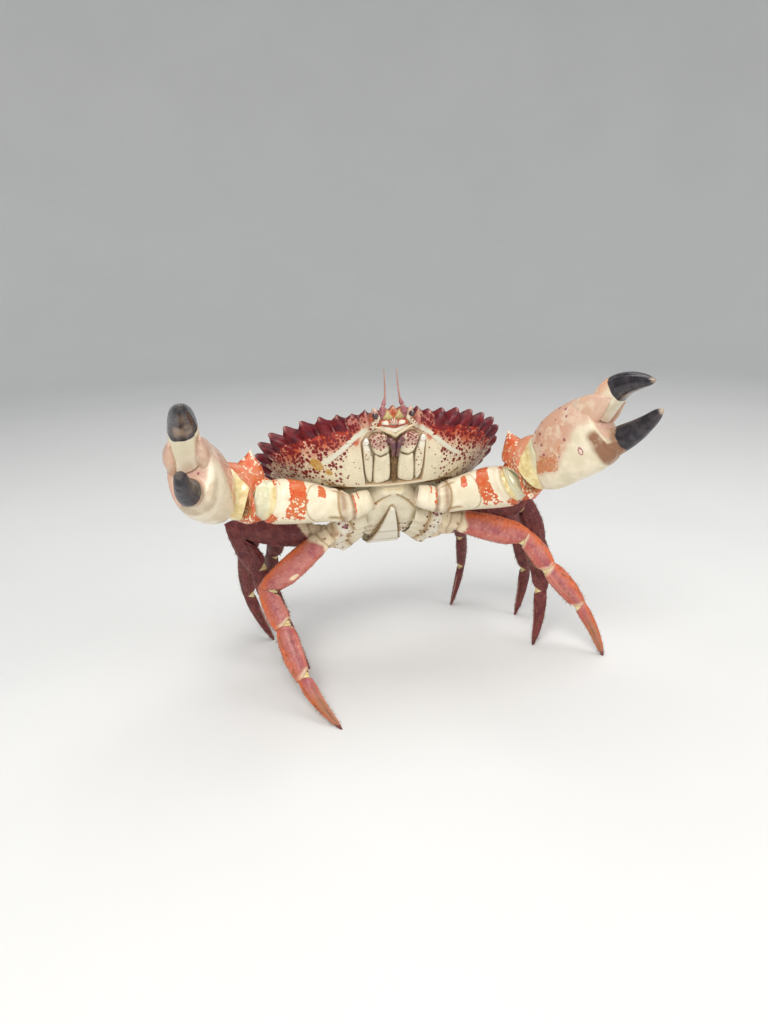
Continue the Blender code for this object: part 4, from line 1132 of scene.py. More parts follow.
def shell_skin(sizes):
    """Shell as one skin from the middle of the back over the margin to the middle below."""
    fine, smooth, near_tip, near_valley, tooth = margin()
    centre = np.array(SHELL_CENTRE)
    toothed = (tooth > 0.0) & (tooth < len(SIDE_TEETH))
    across = tooth - np.floor(tooth)
    top_r = 1.0 - np.linspace(1.0, 0.0, 78) ** 1.25
    low_r = 1.0 - np.linspace(0.0, 1.0, 104) ** 1.1
    r = np.concatenate([top_r[1:], low_r[1:-1]])[:, None]
    upper = np.concatenate([np.ones(len(top_r) - 1), np.zeros(len(low_r) - 2)])[:, None] > 0.5
    blend = ease(0.885, 1.0, r)[..., None]
    rim = smooth[None] + (fine - smooth)[None] * blend
    xy = centre + (rim - centre) * r[..., None]
    x, y = xy[..., 0], xy[..., 1]
    round_off = np.sqrt(np.clip(1.0 - ((r - 0.965) / 0.035).clip(0, 1) ** 2, 0.0, 1.0))
    half = RIM_HALF * (0.12 + 0.88 * round_off)
    z = np.where(upper, back_height(r, x, y) + half, belly_height(r, x, y) - half)
    outward = np.sum((fine - smooth) * unit(smooth - centre), axis=-1)
    z = z + TOOTH_RISE * blend[..., 0] * np.maximum(0.0, outward)
    inward = (1.0 - r) * np.linalg.norm(rim - centre, axis=-1)
    lobe = np.sin(math.pi * np.clip(across, 0.0, 1.0)) ** 0.8 * toothed
    z = z + tooth_relief(sizes, upper, inward, lobe, near_valley, toothed)
    z, grooves = back_relief(x, y, z, r, upper)
    pleura, run = away(np.stack([np.abs(x), y], axis=-1), curve(PLEURA, 3))
    z = z + bell(pleura, 0.0, 0.9) * ~upper * 0.35
    shelf_cut = ~upper & (y > -13.6) & (np.abs(x) < 46.0)
    z = np.where(shelf_cut, np.maximum(z, STERNUM_TOP + 0.05), z)
    slot_x = (np.abs(x) - SLOT_AT[0]) / SLOT_HALF[0]
    slot_y = (y - SLOT_AT[1] + 0.12 * (np.abs(x) - SLOT_AT[0])) / SLOT_HALF[1]
    slot = np.clip(1.0 - slot_x ** 2 - slot_y ** 2, 0.0, 1.0) ** 0.5 * ~upper
    z = z + slot * 6.5
    body = np.stack([x, y, z], axis=-1)
    inside, off, s = mouth_depth(body)
    seat = ease(-0.5, 0.9, inside) * ~upper * (off > -1.0)
    normal = mouth_frame()[3]
    body = body + normal * (np.minimum(0.0, -off + 0.1) * seat)[..., None]
    lip = bell(inside, -1.3, 0.8) * ~upper * (y < -14.0) * (off > -4.0) * (s > 1.0)
    body = body + normal * (lip * 0.4)[..., None]
    skin = Skin(stand(body))
    skin.body = body
    grains = beads(body, 2.1, 11, 0.5) * upper * ease(1.0, 0.9, r)
    grains = grains * (0.45 + 0.55 * ease(0.35, 0.75, r)) * sizes.granule_height * 1000.0
    skin.lift(grains)
    places = {
        "x": x, "y": y, "upper": upper, "inward": inward, "tooth": tooth, "toothed": toothed, "lobe": lobe,
        "near_tip": near_tip, "near_valley": near_valley, "grooves": grooves, "slot": slot,
        "pleura": pleura, "run": run, "inside": inside, "off": off,
    }
    return skin, places


# how far the red wash reaches inward from the margin: half width against depth
WASH_EDGE = (
    (18.0, -41.0), (33.0, -35.5), (44.0, -31.0), (56.0, -24.5), (65.0, -16.0), (74.0, -4.0), (76.0, 10.0),
)


def level_of(line, wide):
    """Depth of a line of the shell's underside at each half width."""
    return np.interp(wide, [p[0] for p in line], [p[1] for p in line])


def tooth_marks(skin, places, wave):
    """Maroon teeth, mauve beside the eyes, with a red glow under them, worn bits between them and a painted
    glint at their tips.
    """
    under = ~places["upper"]
    inward, lobe, toothed = places["inward"], places["lobe"], places["toothed"]
    reach = TOOTH_SPAN * (0.12 + 0.4 * lobe)
    teeth = ease(reach + 3.4, reach - 1.0, inward + wave * 0.9) * toothed
    mauve = ease(MAUVE_TEETH + 0.1, MAUVE_TEETH - 0.1, places["tooth"]) * under
    skin.mark("dark", teeth * (1.0 - 0.85 * mauve) * 1.1)
    skin.mark("dark", mauve * 0.75 * bell(lobe, 0.0, 0.3) * ease(4.0, 2.5, inward) * toothed)
    skin.mark("blush", teeth * mauve)
    glow = ease(reach + 9.0, reach + 1.0, inward + wave) * under * (1.0 - mauve) * toothed
    skin.mark("flush", 0.62 * glow * (1.0 - 0.7 * ease(62.0, 74.0, np.abs(places["x"]))))
    bits = bell(places["near_valley"], 0.0, 0.7) * bell(inward, 2.0, 1.2)
    bits = bits * ease(0.1, 0.4, lumps(skin.body, 1.6, 25) + 0.35)
    skin.mark("worn", bits * toothed * 0.55)
    # pale at the tip of each tooth: a painted glint
    skin.mark("worn", bell(places["near_tip"], 0.0, 0.9) * ease(0.7, 0.2, inward) * toothed * 0.5)


def flank_marks(skin, places, wave):
    """Red wash and dark spots of the flank, with the pale stripe and its string of beads over them."""
    under = ~places["upper"]
    y, run, pleura = places["y"], places["run"], places["pleura"]
    wide = np.abs(places["x"])
    edge = level_of(WASH_EDGE, wide)
    stripe_y = level_of(PLEURA, wide)
    sideways = ease(60.0, 74.0, wide)
    wash = ease(edge + 8.0, edge - 3.5, y + wave * 2.5) * under
    skin.mark("wash", wash * (1.0 - 0.6 * sideways) * (1.0 - 0.7 * ease(-0.5, 1.5, y - stripe_y)))
    corner = bell(wide, 23.4, 2.6) * bell(y, -39.5, 3.4) * under
    skin.mark("wash", ease(0.25, 0.6, corner) * 0.95)
    dots = 1.0 + 0.5 * ease(edge + 8.0, edge - 1.0, y)
    lower = 0.12 + 1.1 * ease(22.0, 33.0, wide + wave * 3.0) * (0.6 + 0.4 * ease(9.0, 1.0, y - stripe_y))
    dots = np.where(y > stripe_y, lower + (dots - lower) * sideways, dots) * under
    dots = dots * ease(15.0, 20.0, wide)
    stripe = np.exp(-((pleura / 1.05) ** 6)) * under * ease(0.57, 0.5, run)
    skin.mark("pale", stripe * ease(0.04, 0.14, run))
    skin.mark("film", stripe * ease(0.16, 0.05, run) * 0.4)
    string = bell(pleura, 0.0, 0.5) * (np.sin(run * 260.0) > -0.2) * under
    skin.mark("pale", string * ease(0.5, 0.56, run) * ease(0.95, 0.85, run) * 0.8)
    clear = 1.0 - np.clip(stripe + 0.6 * string, 0.0, 1.0)
    skin.mark("spots", np.clip(dots, 0, 1.5) * clear)
    skin.clear("wash", clear)
    line = bell(pleura, 1.35, 0.3) * (y > stripe_y) * under * ease(0.55, 0.45, run)
    skin.mark("dark", line * 0.62)


def dirt_marks(skin, places, wave):
    """Brown film of the side corners, mustard stains, a dark seam round the mouth field, and painted shade
    over the sunken mouth seat and in the slots.
    """
    x, y, inside = places["x"], places["y"], places["inside"]
    under = ~places["upper"]
    wide = np.abs(x)
    corner = ease(44.0, 70.0, wide + wave * 7.0 + 0.3 * (y + 20.0)) * ease(3.0, 6.0, places["inward"])
    skin.mark("film", corner * under * 0.6)
    fringe = bell(y + 12.6 + FRINGE_SLANT * (wide - 30.0), 0.0, 1.1) * under
    fringe = fringe * ease(46.0, 40.0, wide) * ease(14.0, 20.0, wide)
    skin.mark("stain", fringe * (0.7 + 0.3 * wave))
    for across, back, size in STAINS:
        gap = np.hypot((x - across) / 1.25, y - back)
        skin.mark("stain", ease(size * 1.15, size * 0.55, gap) * under)
    on_seat = under * (places["off"] > -4.0)
    skin.mark("seam", bell(inside, 0.0, 0.4) * on_seat * 0.85)
    # the sunken seat under the jaw plates is darker, browner down the middle: painted shade for the gaps
    # between the plates, with the brown of the hairy middle gap
    skin.mark("seam", ease(0.4, 1.4, inside) * on_seat * (0.3 + 0.55 * ease(5.0, 3.5, wide)))
    # painted shade fills the sunken slot over each claw base
    skin.mark("seam", ease(0.02, 0.2, places["slot"]) * 2.0)
    skin.mark("seam", places["grooves"] * places["upper"] * 0.18)


def shell_fringe(skin, places):
    """Row of short golden hair behind the slots over the claw bases."""
    rng = np.random.default_rng(5)
    wide = np.abs(places["x"])
    row = np.abs(places["y"] - FRINGE_Y + FRINGE_SLANT * (wide - 30.0))
    band = ~places["upper"] & (row < 0.9) & (wide > FRINGE_X[0]) & (wide < FRINGE_X[1])
    rows, cols = np.nonzero(band & (places["slot"] < 0.05))
    pick = rng.permutation(len(rows))[:520]
    roots = skin.grid[rows[pick], cols[pick]]
    ways = skin.normals()[rows[pick], cols[pick]] + stand((0, 0.7, -0.4)) - stand((0, 0, 0))
    bristles(roots, ways, 1.3, 0.08, (0, 0, -0.15), 6, "shell_fringe", "gold_hair")


def build_shell(sizes):
    skin, places = shell_skin(sizes)
    wave = lumps(skin.body, 7.0, 21) * 0.5 + lumps(skin.body, 3.0, 22) * 0.3
    skin.mark("back", 1.0 * places["upper"])
    skin.mark("spots", np.where(places["upper"], 0.55 + 0.3 * wave, 0.0))
    tooth_marks(skin, places, wave)
    flank_marks(skin, places, wave)
    dirt_marks(skin, places, wave)
    piece(skin, "shell", "shell", ("carapace",))
    shell_fringe(skin, places)


# face: eyes, feelers and the plates between them


# plane through the face, square to the look of the eyes: a point on it, its rise and its outward way
FACE_AT = (0.0, -49.5, -4.5)
FACE_RISE = (0.0, -0.588, 0.809)
FACE_OUT = (0.0, -0.809, -0.588)

# plates and ridges of the face as seen from the front: across and up from the middle of the face
SOCKET_WALL = ((0.3, 0.8), (3.9, 0.4), (7.2, 1.9), (5.6, 4.4), (3.75, 6.9), (2.0, 4.6), (0.2, 2.5))
EYE_STRIP = (
    (7.9, 4.2), (10.4, 3.4), (12.4, 0.4), (15.4, -3.0), (14.6, -5.4), (12.0, -4.9), (9.4, -1.4), (7.5, 1.4),
)
CHEEK_PLATE = ((2.8, -3.4), (6.9, -3.0), (7.5, -0.4), (5.0, 0.4), (3.1, 0.0))
FAN = (
    (-2.4, -3.0), (0.0, -3.4), (2.4, -3.0), (2.8, -0.4), (1.3, 1.3), (0.0, 2.0), (-1.3, 1.3), (-2.8, -0.4),
)
NOSE_TIP = ((-1.3, 3.6), (0.0, 3.0), (1.3, 3.6), (1.1, 6.6), (0.0, 9.2), (-1.1, 6.6))
LIP_PLATE = (
    (-8.8, -2.8), (-4.0, -3.2), (0.0, -3.6), (4.0, -3.2), (8.8, -2.8), (8.6, -5.2), (4.2, -7.4), (0.0, -9.0),
    (-4.2, -7.4), (-8.6, -5.2),
)
MOUSTACHE = ((-12.4, -3.4), (-8.6, -4.4), (-5.2, -6.4), (-2.4, -7.8), (0.0, -9.3))
LIP_LINE = ((-8.2, -2.5), (-4.4, -3.1), (0.0, -4.1))


def face_place(x, rise, out):
    """Body-frame point on the face: across, up and forward of its plane."""
    x, rise, out = np.broadcast_arrays(*(np.asarray(v, float) for v in (x, rise, out)))
    return (np.array(FACE_AT) + x[..., None] * np.array([1.0, 0.0, 0.0])
            + rise[..., None] * np.array(FACE_RISE) + out[..., None] * np.array(FACE_OUT))


def build_face():
    for side, word in SIDES:
        flip = np.array([side, 1.0, 1.0])
        piece(eye_ball(side), f"eye_{word}_ball", "eye", (f"eye_{word}",))
        stalk = sweep(
            stand(np.array([(8.8, -46.5, -2.4), (10.2, -49.2, -0.6), (11.2, -52.2, 1.2)]) * flip),
            ((1.9, 1.9), (2.3, 2.1), (2.2, 1.6)), sides=24,
        )
        stalk.mark("worn", 0.55 * ease(0.3, 0.9, stalk.t))
        stalk.mark("spots", 0.5 * ease(0.7, 0.3, stalk.t))
        piece(stalk, f"eye_stalk_{word}", "feeler")
        long_feeler(word, flip)
        face_plates(side, word)
    mouth_ridge()
    nose_folds()


def eye_ball(side):
    at = stand(face_place(side * 11.4, 3.4, 0.6))
    look = unit(stand((side * 0.25, -1.0, -0.35)) - stand((0, 0, 0)))
    helper = unit(np.cross(look, (0.3, 0.5, 0.8)))
    other = np.cross(look, helper)
    turn = np.linspace(0.06, math.pi - 0.06, 28)[:, None]
    lon = 2.0 * math.pi * np.arange(36) / 36
    ring = helper[None] * np.cos(lon)[:, None] + other[None] * np.sin(lon)[:, None]
    grid = at - look * (np.cos(turn) * EYE_FINE * 1.2)[..., None]
    skin = Skin(grid + ring[None] * (np.sin(turn) * EYE_FINE)[..., None])
    skin.mark("worn", ease(1.5, 1.1, turn) * 0.7)
    # pale on the side of the eye that faces up and a little forward: a painted highlight
    skin.mark("worn", ease(0.55, 0.9, ring @ unit((0.0, -0.2, 1.0))) * 0.75)
    return skin


def long_feeler(word, flip):
    """Two knobs at the root, then a thin whip that stands straight up."""
    places = (
        (6.9, 1.5, -2.6), (6.8, 4.6, -0.4), (6.4, 7.2, 0.2), (6.0, 8.8, 0.0), (5.5, 10.4, 0.2),
        (5.0, 11.8, 0.2),
        (4.6, 14.0, 0.4), (4.2, 18.0, 0.6), (4.0, 24.0, 0.8), (3.9, 31.0, 1.0),
    )
    path = np.array([face_place(x, v, h) for x, v, h in places]) * flip
    wide = (1.8, 2.0, 1.9, 1.2, 1.35, 1.05, 0.6, 0.5, 0.38, 0.2)
    horn = sweep(stand(path), [(w, w) for w in wide], sides=18, per=12, high=(0.0, -1.0, 0.2))
    rings = np.sin(horn.t * 260.0)
    horn.lift(np.where(horn.t > 0.58, rings * 0.05, 0.0))
    horn.mark("worn", 0.5 * bell(horn.t, 0.33, 0.03) + ease(0.6, 0.8, horn.t) * 0.25 * (rings > 0.2))
    horn.mark("spots", 0.5 * ease(0.3, 0.1, horn.t))
    horn.mark("seam", ease(0.55, 0.66, horn.t) * 0.3)
    piece(horn, f"feeler_long_{word}", "feeler", (f"antenna_{word}",))


def face_plates(side, word):
    def plate(outline, high):
        turned = [(side * x, v) for x, v in outline]
        return pad(turned, -4.0, high, crown=3.0, place=face_place)

    wall = plate(SOCKET_WALL, 1.8)
    wall.mark("worn", 0.85 * ease(0.8, 0.97, wall.rim))
    wall.mark("film", 0.6 * ease(0.6, 0.2, wall.rim))
    piece(wall, f"feeler_short_{word}", "olive", (f"antennule_{word}",))
    strip = plate(EYE_STRIP, 0.9)
    strip.mark("spots", 1.1)
    strip.mark("seam", 0.5 * ease(0.93, 1.0, strip.rim))
    cheek = plate(CHEEK_PLATE, 0.8)
    cheek.mark("pale", 0.5)
    cheek.mark("seam", 0.6 * ease(0.9, 1.0, cheek.rim))
    bundle = Bundle()
    bundle.skin(strip)
    bundle.skin(cheek)
    piece(bundle, f"face_lobes_{word}", "jaw")


def both_ways(line):
    """Line from the outside to the middle, carried on to the other side."""
    return list(line) + [(-x, v) for x, v in reversed(line[:-1])]


def mouth_ridge():
    """Tan ridge over the mouth, drawn down to a point, under a cream plate with a thin red fold."""
    bundle = Bundle()
    plate = pad(LIP_PLATE, -5.0, 0.3, crown=4.0, place=face_place)
    plate.mark("pale", 0.45)
    bundle.skin(plate)
    path = [face_place(x, v, 0.9 + 0.05 * abs(x)) for x, v in both_ways(MOUSTACHE)]
    wide = ((0.5, 0.5), (0.75, 0.8), (0.85, 0.9), (0.9, 1.0), (1.0, 1.4))
    ridge = sweep(stand(path), wide + wide[-2::-1], sides=20, per=10, high=(0, -0.5, 0.8))
    ridge.mark("film", 0.35)
    ridge.mark("flush", 0.9 * bell(np.abs(ridge.angle + 60.0), 0.0, 16.0))
    bundle.skin(ridge)
    path = [face_place(x, v, 0.7) for x, v in both_ways(LIP_LINE)]
    wide = ((0.25, 0.3), (0.4, 0.45), (0.5, 0.5))
    fold = sweep(stand(path), wide + wide[-2::-1], sides=14, per=10, high=(0, -0.5, 0.8))
    fold.mark("flush", 0.9)
    bundle.skin(fold)
    piece(bundle, "mouth_ridge", "jaw")


def nose_folds():
    """Folded fan between the cheek plates, with a small red peak above it."""
    nose = Bundle()
    fan = pad(FAN, -4.0, 1.5, crown=3.0, per=10, place=face_place)
    spoke = np.arctan2(fan.plan[..., 0], fan.plan[..., 1] + 5.0)
    fan.mark("worn", 0.95 * (np.sin(spoke * 26.0) > -0.1))
    nose.skin(fan)
    tip = pad(NOSE_TIP, -4.0, 2.2, crown=2.5, place=face_place)
    tip.mark("flush", 0.9)
    tip.mark("worn", 0.9 * bell(tip.plan[..., 1], 7.6, 0.7))
    nose.skin(tip)
    piece(nose, "nose_folds", "feeler")


# mouth


# plates of the jaw-feet, left half: across and along the mouth field
LOWER_PLATE = (
    (2.5, 3.0), (5.6, 0.6), (9.4, -0.3), (11.9, -0.2), (12.7, 3.0), (12.6, 9.0),
    (12.2, 15.0), (11.6, 18.7), (8.5, 17.3), (5.4, 18.4), (3.2, 19.6), (2.4, 13.0),
)
UPPER_PLATE = (
    (3.4, 20.7), (5.6, 19.5), (8.5, 18.3), (11.7, 19.7), (13.3, 22.6), (15.0, 27.4),
    (14.6, 30.8), (11.2, 32.4), (7.2, 32.4), (4.6, 30.6), (3.3, 25.6),
)
STRIP = (
    (14.0, 0.8), (16.0, 1.4), (17.8, 6.0), (18.6, 14.0), (19.1, 22.0), (19.3, 26.4),
    (18.0, 28.4), (16.6, 27.0), (15.2, 23.6), (13.6, 17.0), (13.3, 9.0),
)
KNOB_PATH = ((26.8, 2.6), (28.2, 4.4), (29.6, 4.0))

# palp: across, along and off the mouth field, and its half sizes
PALP_PATH = (
    (4.6, 28.6, 5.6), (3.4, 29.6, 6.8), (2.0, 28.0, 7.6), (1.5, 25.0, 7.6), (1.3, 21.5, 6.6),
    (1.2, 18.6, 5.4),
)
PALP_WIDE = ((1.5, 1.3), (1.7, 1.6), (1.7, 1.8), (1.45, 1.6), (1.15, 1.2), (0.7, 0.7))


def grown(outline, by):
    """Outline moved outward from its middle by a given distance."""
    points = np.asarray(outline, float)
    return points + unit(points - points.mean(axis=0)) * by


def lower_plate_shape(x, s):
    """Long groove near the inner edge beside a low swelling."""
    x = np.abs(x)
    groove = bell(x, 4.9 + 0.08 * s, 0.8) * ease(1.0, 4.0, s) * ease(16.5, 13.0, s)
    return -0.4 * groove + 0.3 * bell(x, 8.4, 2.4)


def upper_plate_shape(x, s):
    """Shallow hollow in the middle."""
    return -0.6 * bell(np.abs(x), 8.6, 3.0) * bell(s, 26.0, 3.4)


def jaw_plates(side, word):
    def plate(outline, high, crown, shape=None):
        made = pad(grown(outline, 0.25) * (side, 1.0), 0.6, high, crown=crown, shape=shape)
        made.mark("seam", 0.5 * ease(0.96, 1.0, made.rim))
        return made, np.abs(made.plan[..., 0]), made.plan[..., 1]

    lower, x, s = plate(LOWER_PLATE, 5.0, 9.0, lower_plate_shape)
    lower.mark("film", 0.4 * ease(3.8, 2.4, x))
    lower.mark("spots", 0.16 + 0.12 * ease(7.0, 16.0, s))
    piece(lower, f"jaw_plate_{word}", "jaw", (f"maxilliped_{word}",))
    upper, x, s = plate(UPPER_PLATE, 5.2, 7.0, upper_plate_shape)
    chevron = s - 0.45 * np.abs(x - 8.5)
    upper.mark("spots", 1.15 * ease(20.4, 23.4, chevron))
    upper.mark("blush", 0.6 * ease(21.0, 24.6, chevron))
    piece(upper, f"jaw_upper_plate_{word}", "jaw")
    strip, x, s = plate(STRIP, 4.6, 8.0)
    strip.mark("spots", 0.3 + 0.3 * bell(s, 17.0, 5.0))
    strip.mark("pale", 0.6 * ease(20.5, 25.0, s))
    path = [mouth_place(side * 17.7, s, h) for s, h in KNOB_PATH]
    knob = sweep(stand(path), ((1.3, 1.2), (1.7, 1.5), (1.1, 1.0)), sides=20, per=8)
    knob.mark("pale", 1.0)
    bundle = Bundle()
    bundle.skin(strip)
    bundle.skin(knob)
    piece(bundle, f"jaw_strip_{word}", "jaw")


def build_mouth():
    for side, word in SIDES:
        jaw_plates(side, word)
        path = [mouth_place(side * x, s, h) for x, s, h in PALP_PATH]
        palp = sweep(stand(path), PALP_WIDE, sides=24, per=8)
        palp.lift(-0.3 * (bell(palp.t, 0.34, 0.02) + bell(palp.t, 0.66, 0.02)))
        palp.mark("seam", 0.35 * (bell(palp.t, 0.34, 0.03) + bell(palp.t, 0.66, 0.03)))
        piece(palp, f"jaw_palp_{word}", "palp")
    mouth_hair()


def mouth_hair():
    rng = np.random.default_rng(12)
    roots = []
    ways = []
    out = stand(mouth_place(0, 0, 1)) - stand(mouth_place(0, 0, 0))
    down = stand(mouth_place(0, -1, 0)) - stand(mouth_place(0, 0, 0))
    for _ in range(620):
        s = rng.uniform(2.0, 20.0)
        x = rng.uniform(-2.2, 2.2)
        roots.append(stand(mouth_place(x, s, rng.uniform(0.8, 4.2))))
        cross = -np.sign(x) * rng.uniform(0.0, 1.0)
        ways.append(out * 0.55 + down * rng.uniform(0.3, 1.2) + np.array([cross * 0.9, 0, 0]))
    bristles(roots, ways, 2.9, 0.14, (0, 0, -0.2), 13, "jaw_bristles", "brown_hair")


# breastplate, leg bases and tail flap


# half outlines of the breastplate: its cross section, the groove beside the tail flap and its sutures
STERNUM_SECTION = (
    (-1.0, 0.0), (-1.0, 0.55), (-0.72, 0.9), (-0.3, 1.0), (0.3, 1.0),
    (0.72, 0.9), (1.0, 0.55), (1.0, 0.0), (0.4, 0.0), (-0.4, 0.0),
)
TAIL_GROOVE = ((0.0, 1.0), (5.4, 18.0), (8.8, 34.0), (12.0, 48.0))
BREAST_SEAMS = (
    ((2.4, -8.6), (6.5, -4.6), (10.8, -0.4), (15.0, 5.4), (19.4, 10.0)),
    ((4.6, 20.0), (9.5, 23.6), (15.5, 23.0), (22.0, 18.5)),
    ((6.6, 28.4), (12.0, 30.6), (19.5, 28.0)),
    ((9.0, 37.0), (14.0, 38.6), (18.0, 36.0)),
)

# swellings of the breastplate: height, then place and reach across and to the rear
BREAST_LOBES = ((1.5, 12.0, 5.5, 14.0, 6.5), (0.8, 4.8, 2.4, -10.0, 2.2), (0.7, 13.5, 3.5, 33.0, 3.0))

COXA_TABLE = ((0.0, 4.6, 4.6), (0.6, COXA_RADIUS, COXA_RADIUS), (1.0, 4.5, 5.2))


def breastplate():
    rows = np.linspace(-13.2, 47.0, 110)
    section = curve(STERNUM_SECTION, 11, closed=True)
    half = np.array([along(STERNUM_PLAN, v)[0] for v in rows])[:, None]
    low = np.array([along(STERNUM_BOTTOM, v)[0] for v in rows])[:, None]
    top = STERNUM_TOP - GAP
    x = half * section[None, :, 0]
    y = np.broadcast_to(rows[:, None], x.shape)
    z = top + (low - top) * section[None, :, 1]
    wide = np.abs(x)
    folded = np.stack([wide, y], axis=-1)
    seams = np.zeros_like(x)
    for line in BREAST_SEAMS:
        gap, _ = away(folded, curve(line, 5))
        seams = np.maximum(seams, bell(gap, 0.0, 0.7))
    facing = ease(0.5, 0.8, section[None, :, 1])
    tail_gap, _ = away(folded, TAIL_GROOVE)
    beside = bell(tail_gap, 0.0, 0.8)
    z = z + facing * (0.9 * seams + 0.6 * beside)
    for height, across, reach, back, depth in BREAST_LOBES:
        z = z - facing * height * bell(wide, across, reach) * bell(y, back, depth)
    z = z - facing * 1.7 * np.exp(-((wide / 9.0) ** 4)) * bell(y, -9.4, 3.4)
    skin = Skin(stand(np.stack([x, y, z], axis=-1)))
    skin.mark("seam", facing * (0.75 * seams + 0.9 * beside))
    gold = bell(tail_gap, 0.0, 1.6) * 0.3 + bell(y, -12.4, 1.1)
    gold = gold + bell(wide, 15.5, 2.0) * bell(y, -7.0, 4.0) * 0.8
    skin.mark("film", facing * 0.6 * np.clip(gold, 0, 1))
    skin.mark("film", facing * 0.75 * ease(0.1, 0.8, seams) * ease(16.0, 10.0, y))
    skin.mark("spots", facing * 0.55 * ease(19.0, 24.0, y))
    skin.mark("flush", facing * 0.8 * bell(wide, 10.8, 1.7) * bell(y, -0.9, 1.0))
    piece(skin, "breastplate", "breast", ("sternum",))


def leg_base(side, word, i, first):
    """Short first article of a walking leg, set into the breastplate's edge."""
    hip = LEG_HIPS[i]
    out = stand((side * hip[0], hip[1], hip[2]))
    inner = coxa_root(side, hip)
    end = (out, unit(first + unit(out - inner)))
    table = [(t, w + 0.25, h + 0.25) for t, w, h in COXA_TABLE]
    coxa = limb(inner, out, (0, 0, 1), table, end=end, sides=56, steps=44)
    t = coxa.t
    coxa.lift(-0.7 * bell(t, 0.52, 0.035) + 0.35 * bell(t, 0.9, 0.06) + 0.2 * bell(t, 0.72, 0.1))
    coxa.mark("seam", 0.8 * bell(t, 0.52, 0.05) + 0.4 * ease(0.97, 1.0, t))
    coxa.mark("film", 0.5 * bell(t, 0.55, 0.12))
    coxa.mark("spots", 0.5 * ease(0.2, 0.5, t))
    coxa.mark("pale", 0.5 * ease(0.5, 0.7, t))
    facing = np.degrees(np.arctan2(CAMERA_WAY @ coxa.up, CAMERA_WAY @ coxa.side))
    turned = (coxa.angle - facing + 180.0) % 360.0 - 180.0
    coxa.mark("blush", 0.9 * ease(0.3, 0.6, bell(t, 0.76, 0.09) * bell(turned, -12.0, 14.0)))
    piece(coxa, f"leg{i + 1}_base_{word}", "breast")


def build_breast():
    breastplate()
    for side, word in SIDES:
        for i, first in enumerate(leg_starts(side)):
            leg_base(side, word, i, first)


# places of the joints along the tail flap
TAIL_CUTS = (0.12, 0.24, 0.38, 0.54, 0.7)


def build_tail():
    """Narrow flap in segments, domed along its middle, with hair along both sides."""
    path = curve(TAIL_PATH, 52)
    half = curve(np.array([(v, 0.0) for v in TAIL_HALF]), 52)[:, :1]
    n = len(path)
    t = np.linspace(0.0, 1.0, n)[:, None]
    way = unit(np.gradient(path, axis=0))
    out = np.stack([-way[:, 1], way[:, 0]], axis=-1)
    across = np.concatenate([np.linspace(-1.0, 1.0, 76), np.linspace(1.0, -1.0, 20)[1:-1]])
    upper = np.arange(len(across)) < 76
    crown = np.where(upper, 0.1 + 1.05 * (1.0 - np.abs(across) ** 2.6), -1.0)
    cuts = sum(bell(t, v, 0.012) for v in TAIL_CUTS)
    ledge = sum(0.3 * ease(v - 0.05, v, t) * ease(v + 0.004, v, t) for v in TAIL_CUTS)
    thick = TAIL_THICK * crown + (ledge - 0.42 * cuts) * (crown > 0)
    thick = thick + 0.35 * bell(across, 0.0, 0.3) * upper
    y = path[:, :1] - out[:, :1] * thick
    z = path[:, 1:] - out[:, 1:] * thick
    skin = Skin(stand(np.stack([half * across, y, z], axis=-1)))
    skin.mark("pale", 0.55)
    skin.mark("seam", 0.7 * ease(0.9, 0.99, np.abs(across)))
    skin.mark("seam", 0.5 * cuts)
    skin.mark("film", 0.4 * ease(0.3, 0.0, t))
    rng = np.random.default_rng(40)
    for _ in range(95):
        at_t, at_x = rng.uniform(0.2, 0.97), rng.uniform(-0.85, 0.85)
        size = rng.uniform(0.45, 0.85)
        gap = np.hypot((t - at_t) / (0.02 * size), half * (across - at_x) / size)
        skin.mark("blush", 1.6 * ease(1.4, 0.7, gap) * upper)
    piece(skin, "tail_flap", "breast", ("abdomen",))
    rng = np.random.default_rng(31)
    roots = []
    ways = []
    for _ in range(420):
        i = int(rng.uniform(0.0, 0.93) * (n - 1))
        side = rng.choice((-1.0, 1.0))
        roots.append(stand((side * half[i, 0], *path[i])))
        ways.append(stand((side * 0.9, *(0.5 * way[i] - 0.5 * out[i]))) - stand((0, 0, 0)))
    bristles(roots, ways, 1.6, 0.1, (0, 0, 0), 32, "tail_fringe", "gold_hair")


# claws


# way from the body to the camera, towards which the joints gape and the bases are marked
CAMERA_WAY = np.array(CAMERA_BACK)

# direction that the lower arm and its base keep upward
ARM_UP = (0.0, 0.3, 1.0)


def near_side(joint):
    """Plane that ends the piece before a joint."""
    return joint[0] - joint[1] * GAP / 2, joint[1]


def far_side(joint):
    """Plane that starts the piece after a joint."""
    return joint[0] + joint[1] * GAP / 2, joint[1]


def claw_joints(side):
    aims = AIM_RIGHT if side < 0 else AIM_LEFT
    points = [stand((side * CLAW_HIP[0], CLAW_HIP[1], CLAW_HIP[2]))]
    for k in range(3):
        points.append(points[-1] + aim(*aims[k]) * CLAW_LENGTHS[k])
    roll = np.array(ROLL_RIGHT if side < 0 else ROLL_LEFT)
    return points, roll, aims


def finger_rows(inward):
    """Palm table followed by the fixed finger, as one run from the wrist to the tip."""
    palm = CLAW_LENGTHS[2]
    total = palm + FINGER_LENGTH
    rows = [(t * palm / total, w, h, 0.0, 0.0) for t, w, h in CLAW_PALM]
    w0, h0, c0 = FINGER_ROOT
    w1, h1, c1 = FINGER_TIP
    for f in (0.01, 0.25, 0.5, 0.75, 0.92, 1.0):
        t = (palm + f * FINGER_LENGTH) / total
        k = f ** 1.15
        bend = -2.6 * math.sin(math.pi * min(f, 1.0)) * 0.6
        taper = 1.0 if f < 1.0 else 0.5
        w = (w0 + (w1 - w0) * k) * taper
        h = (h0 + (h1 - h0) * k) * taper
        rows.append((t, w, h, inward * FINGER_INWARD * f ** 1.4, c0 + (c1 - c0) * f + bend))
    return rows, total


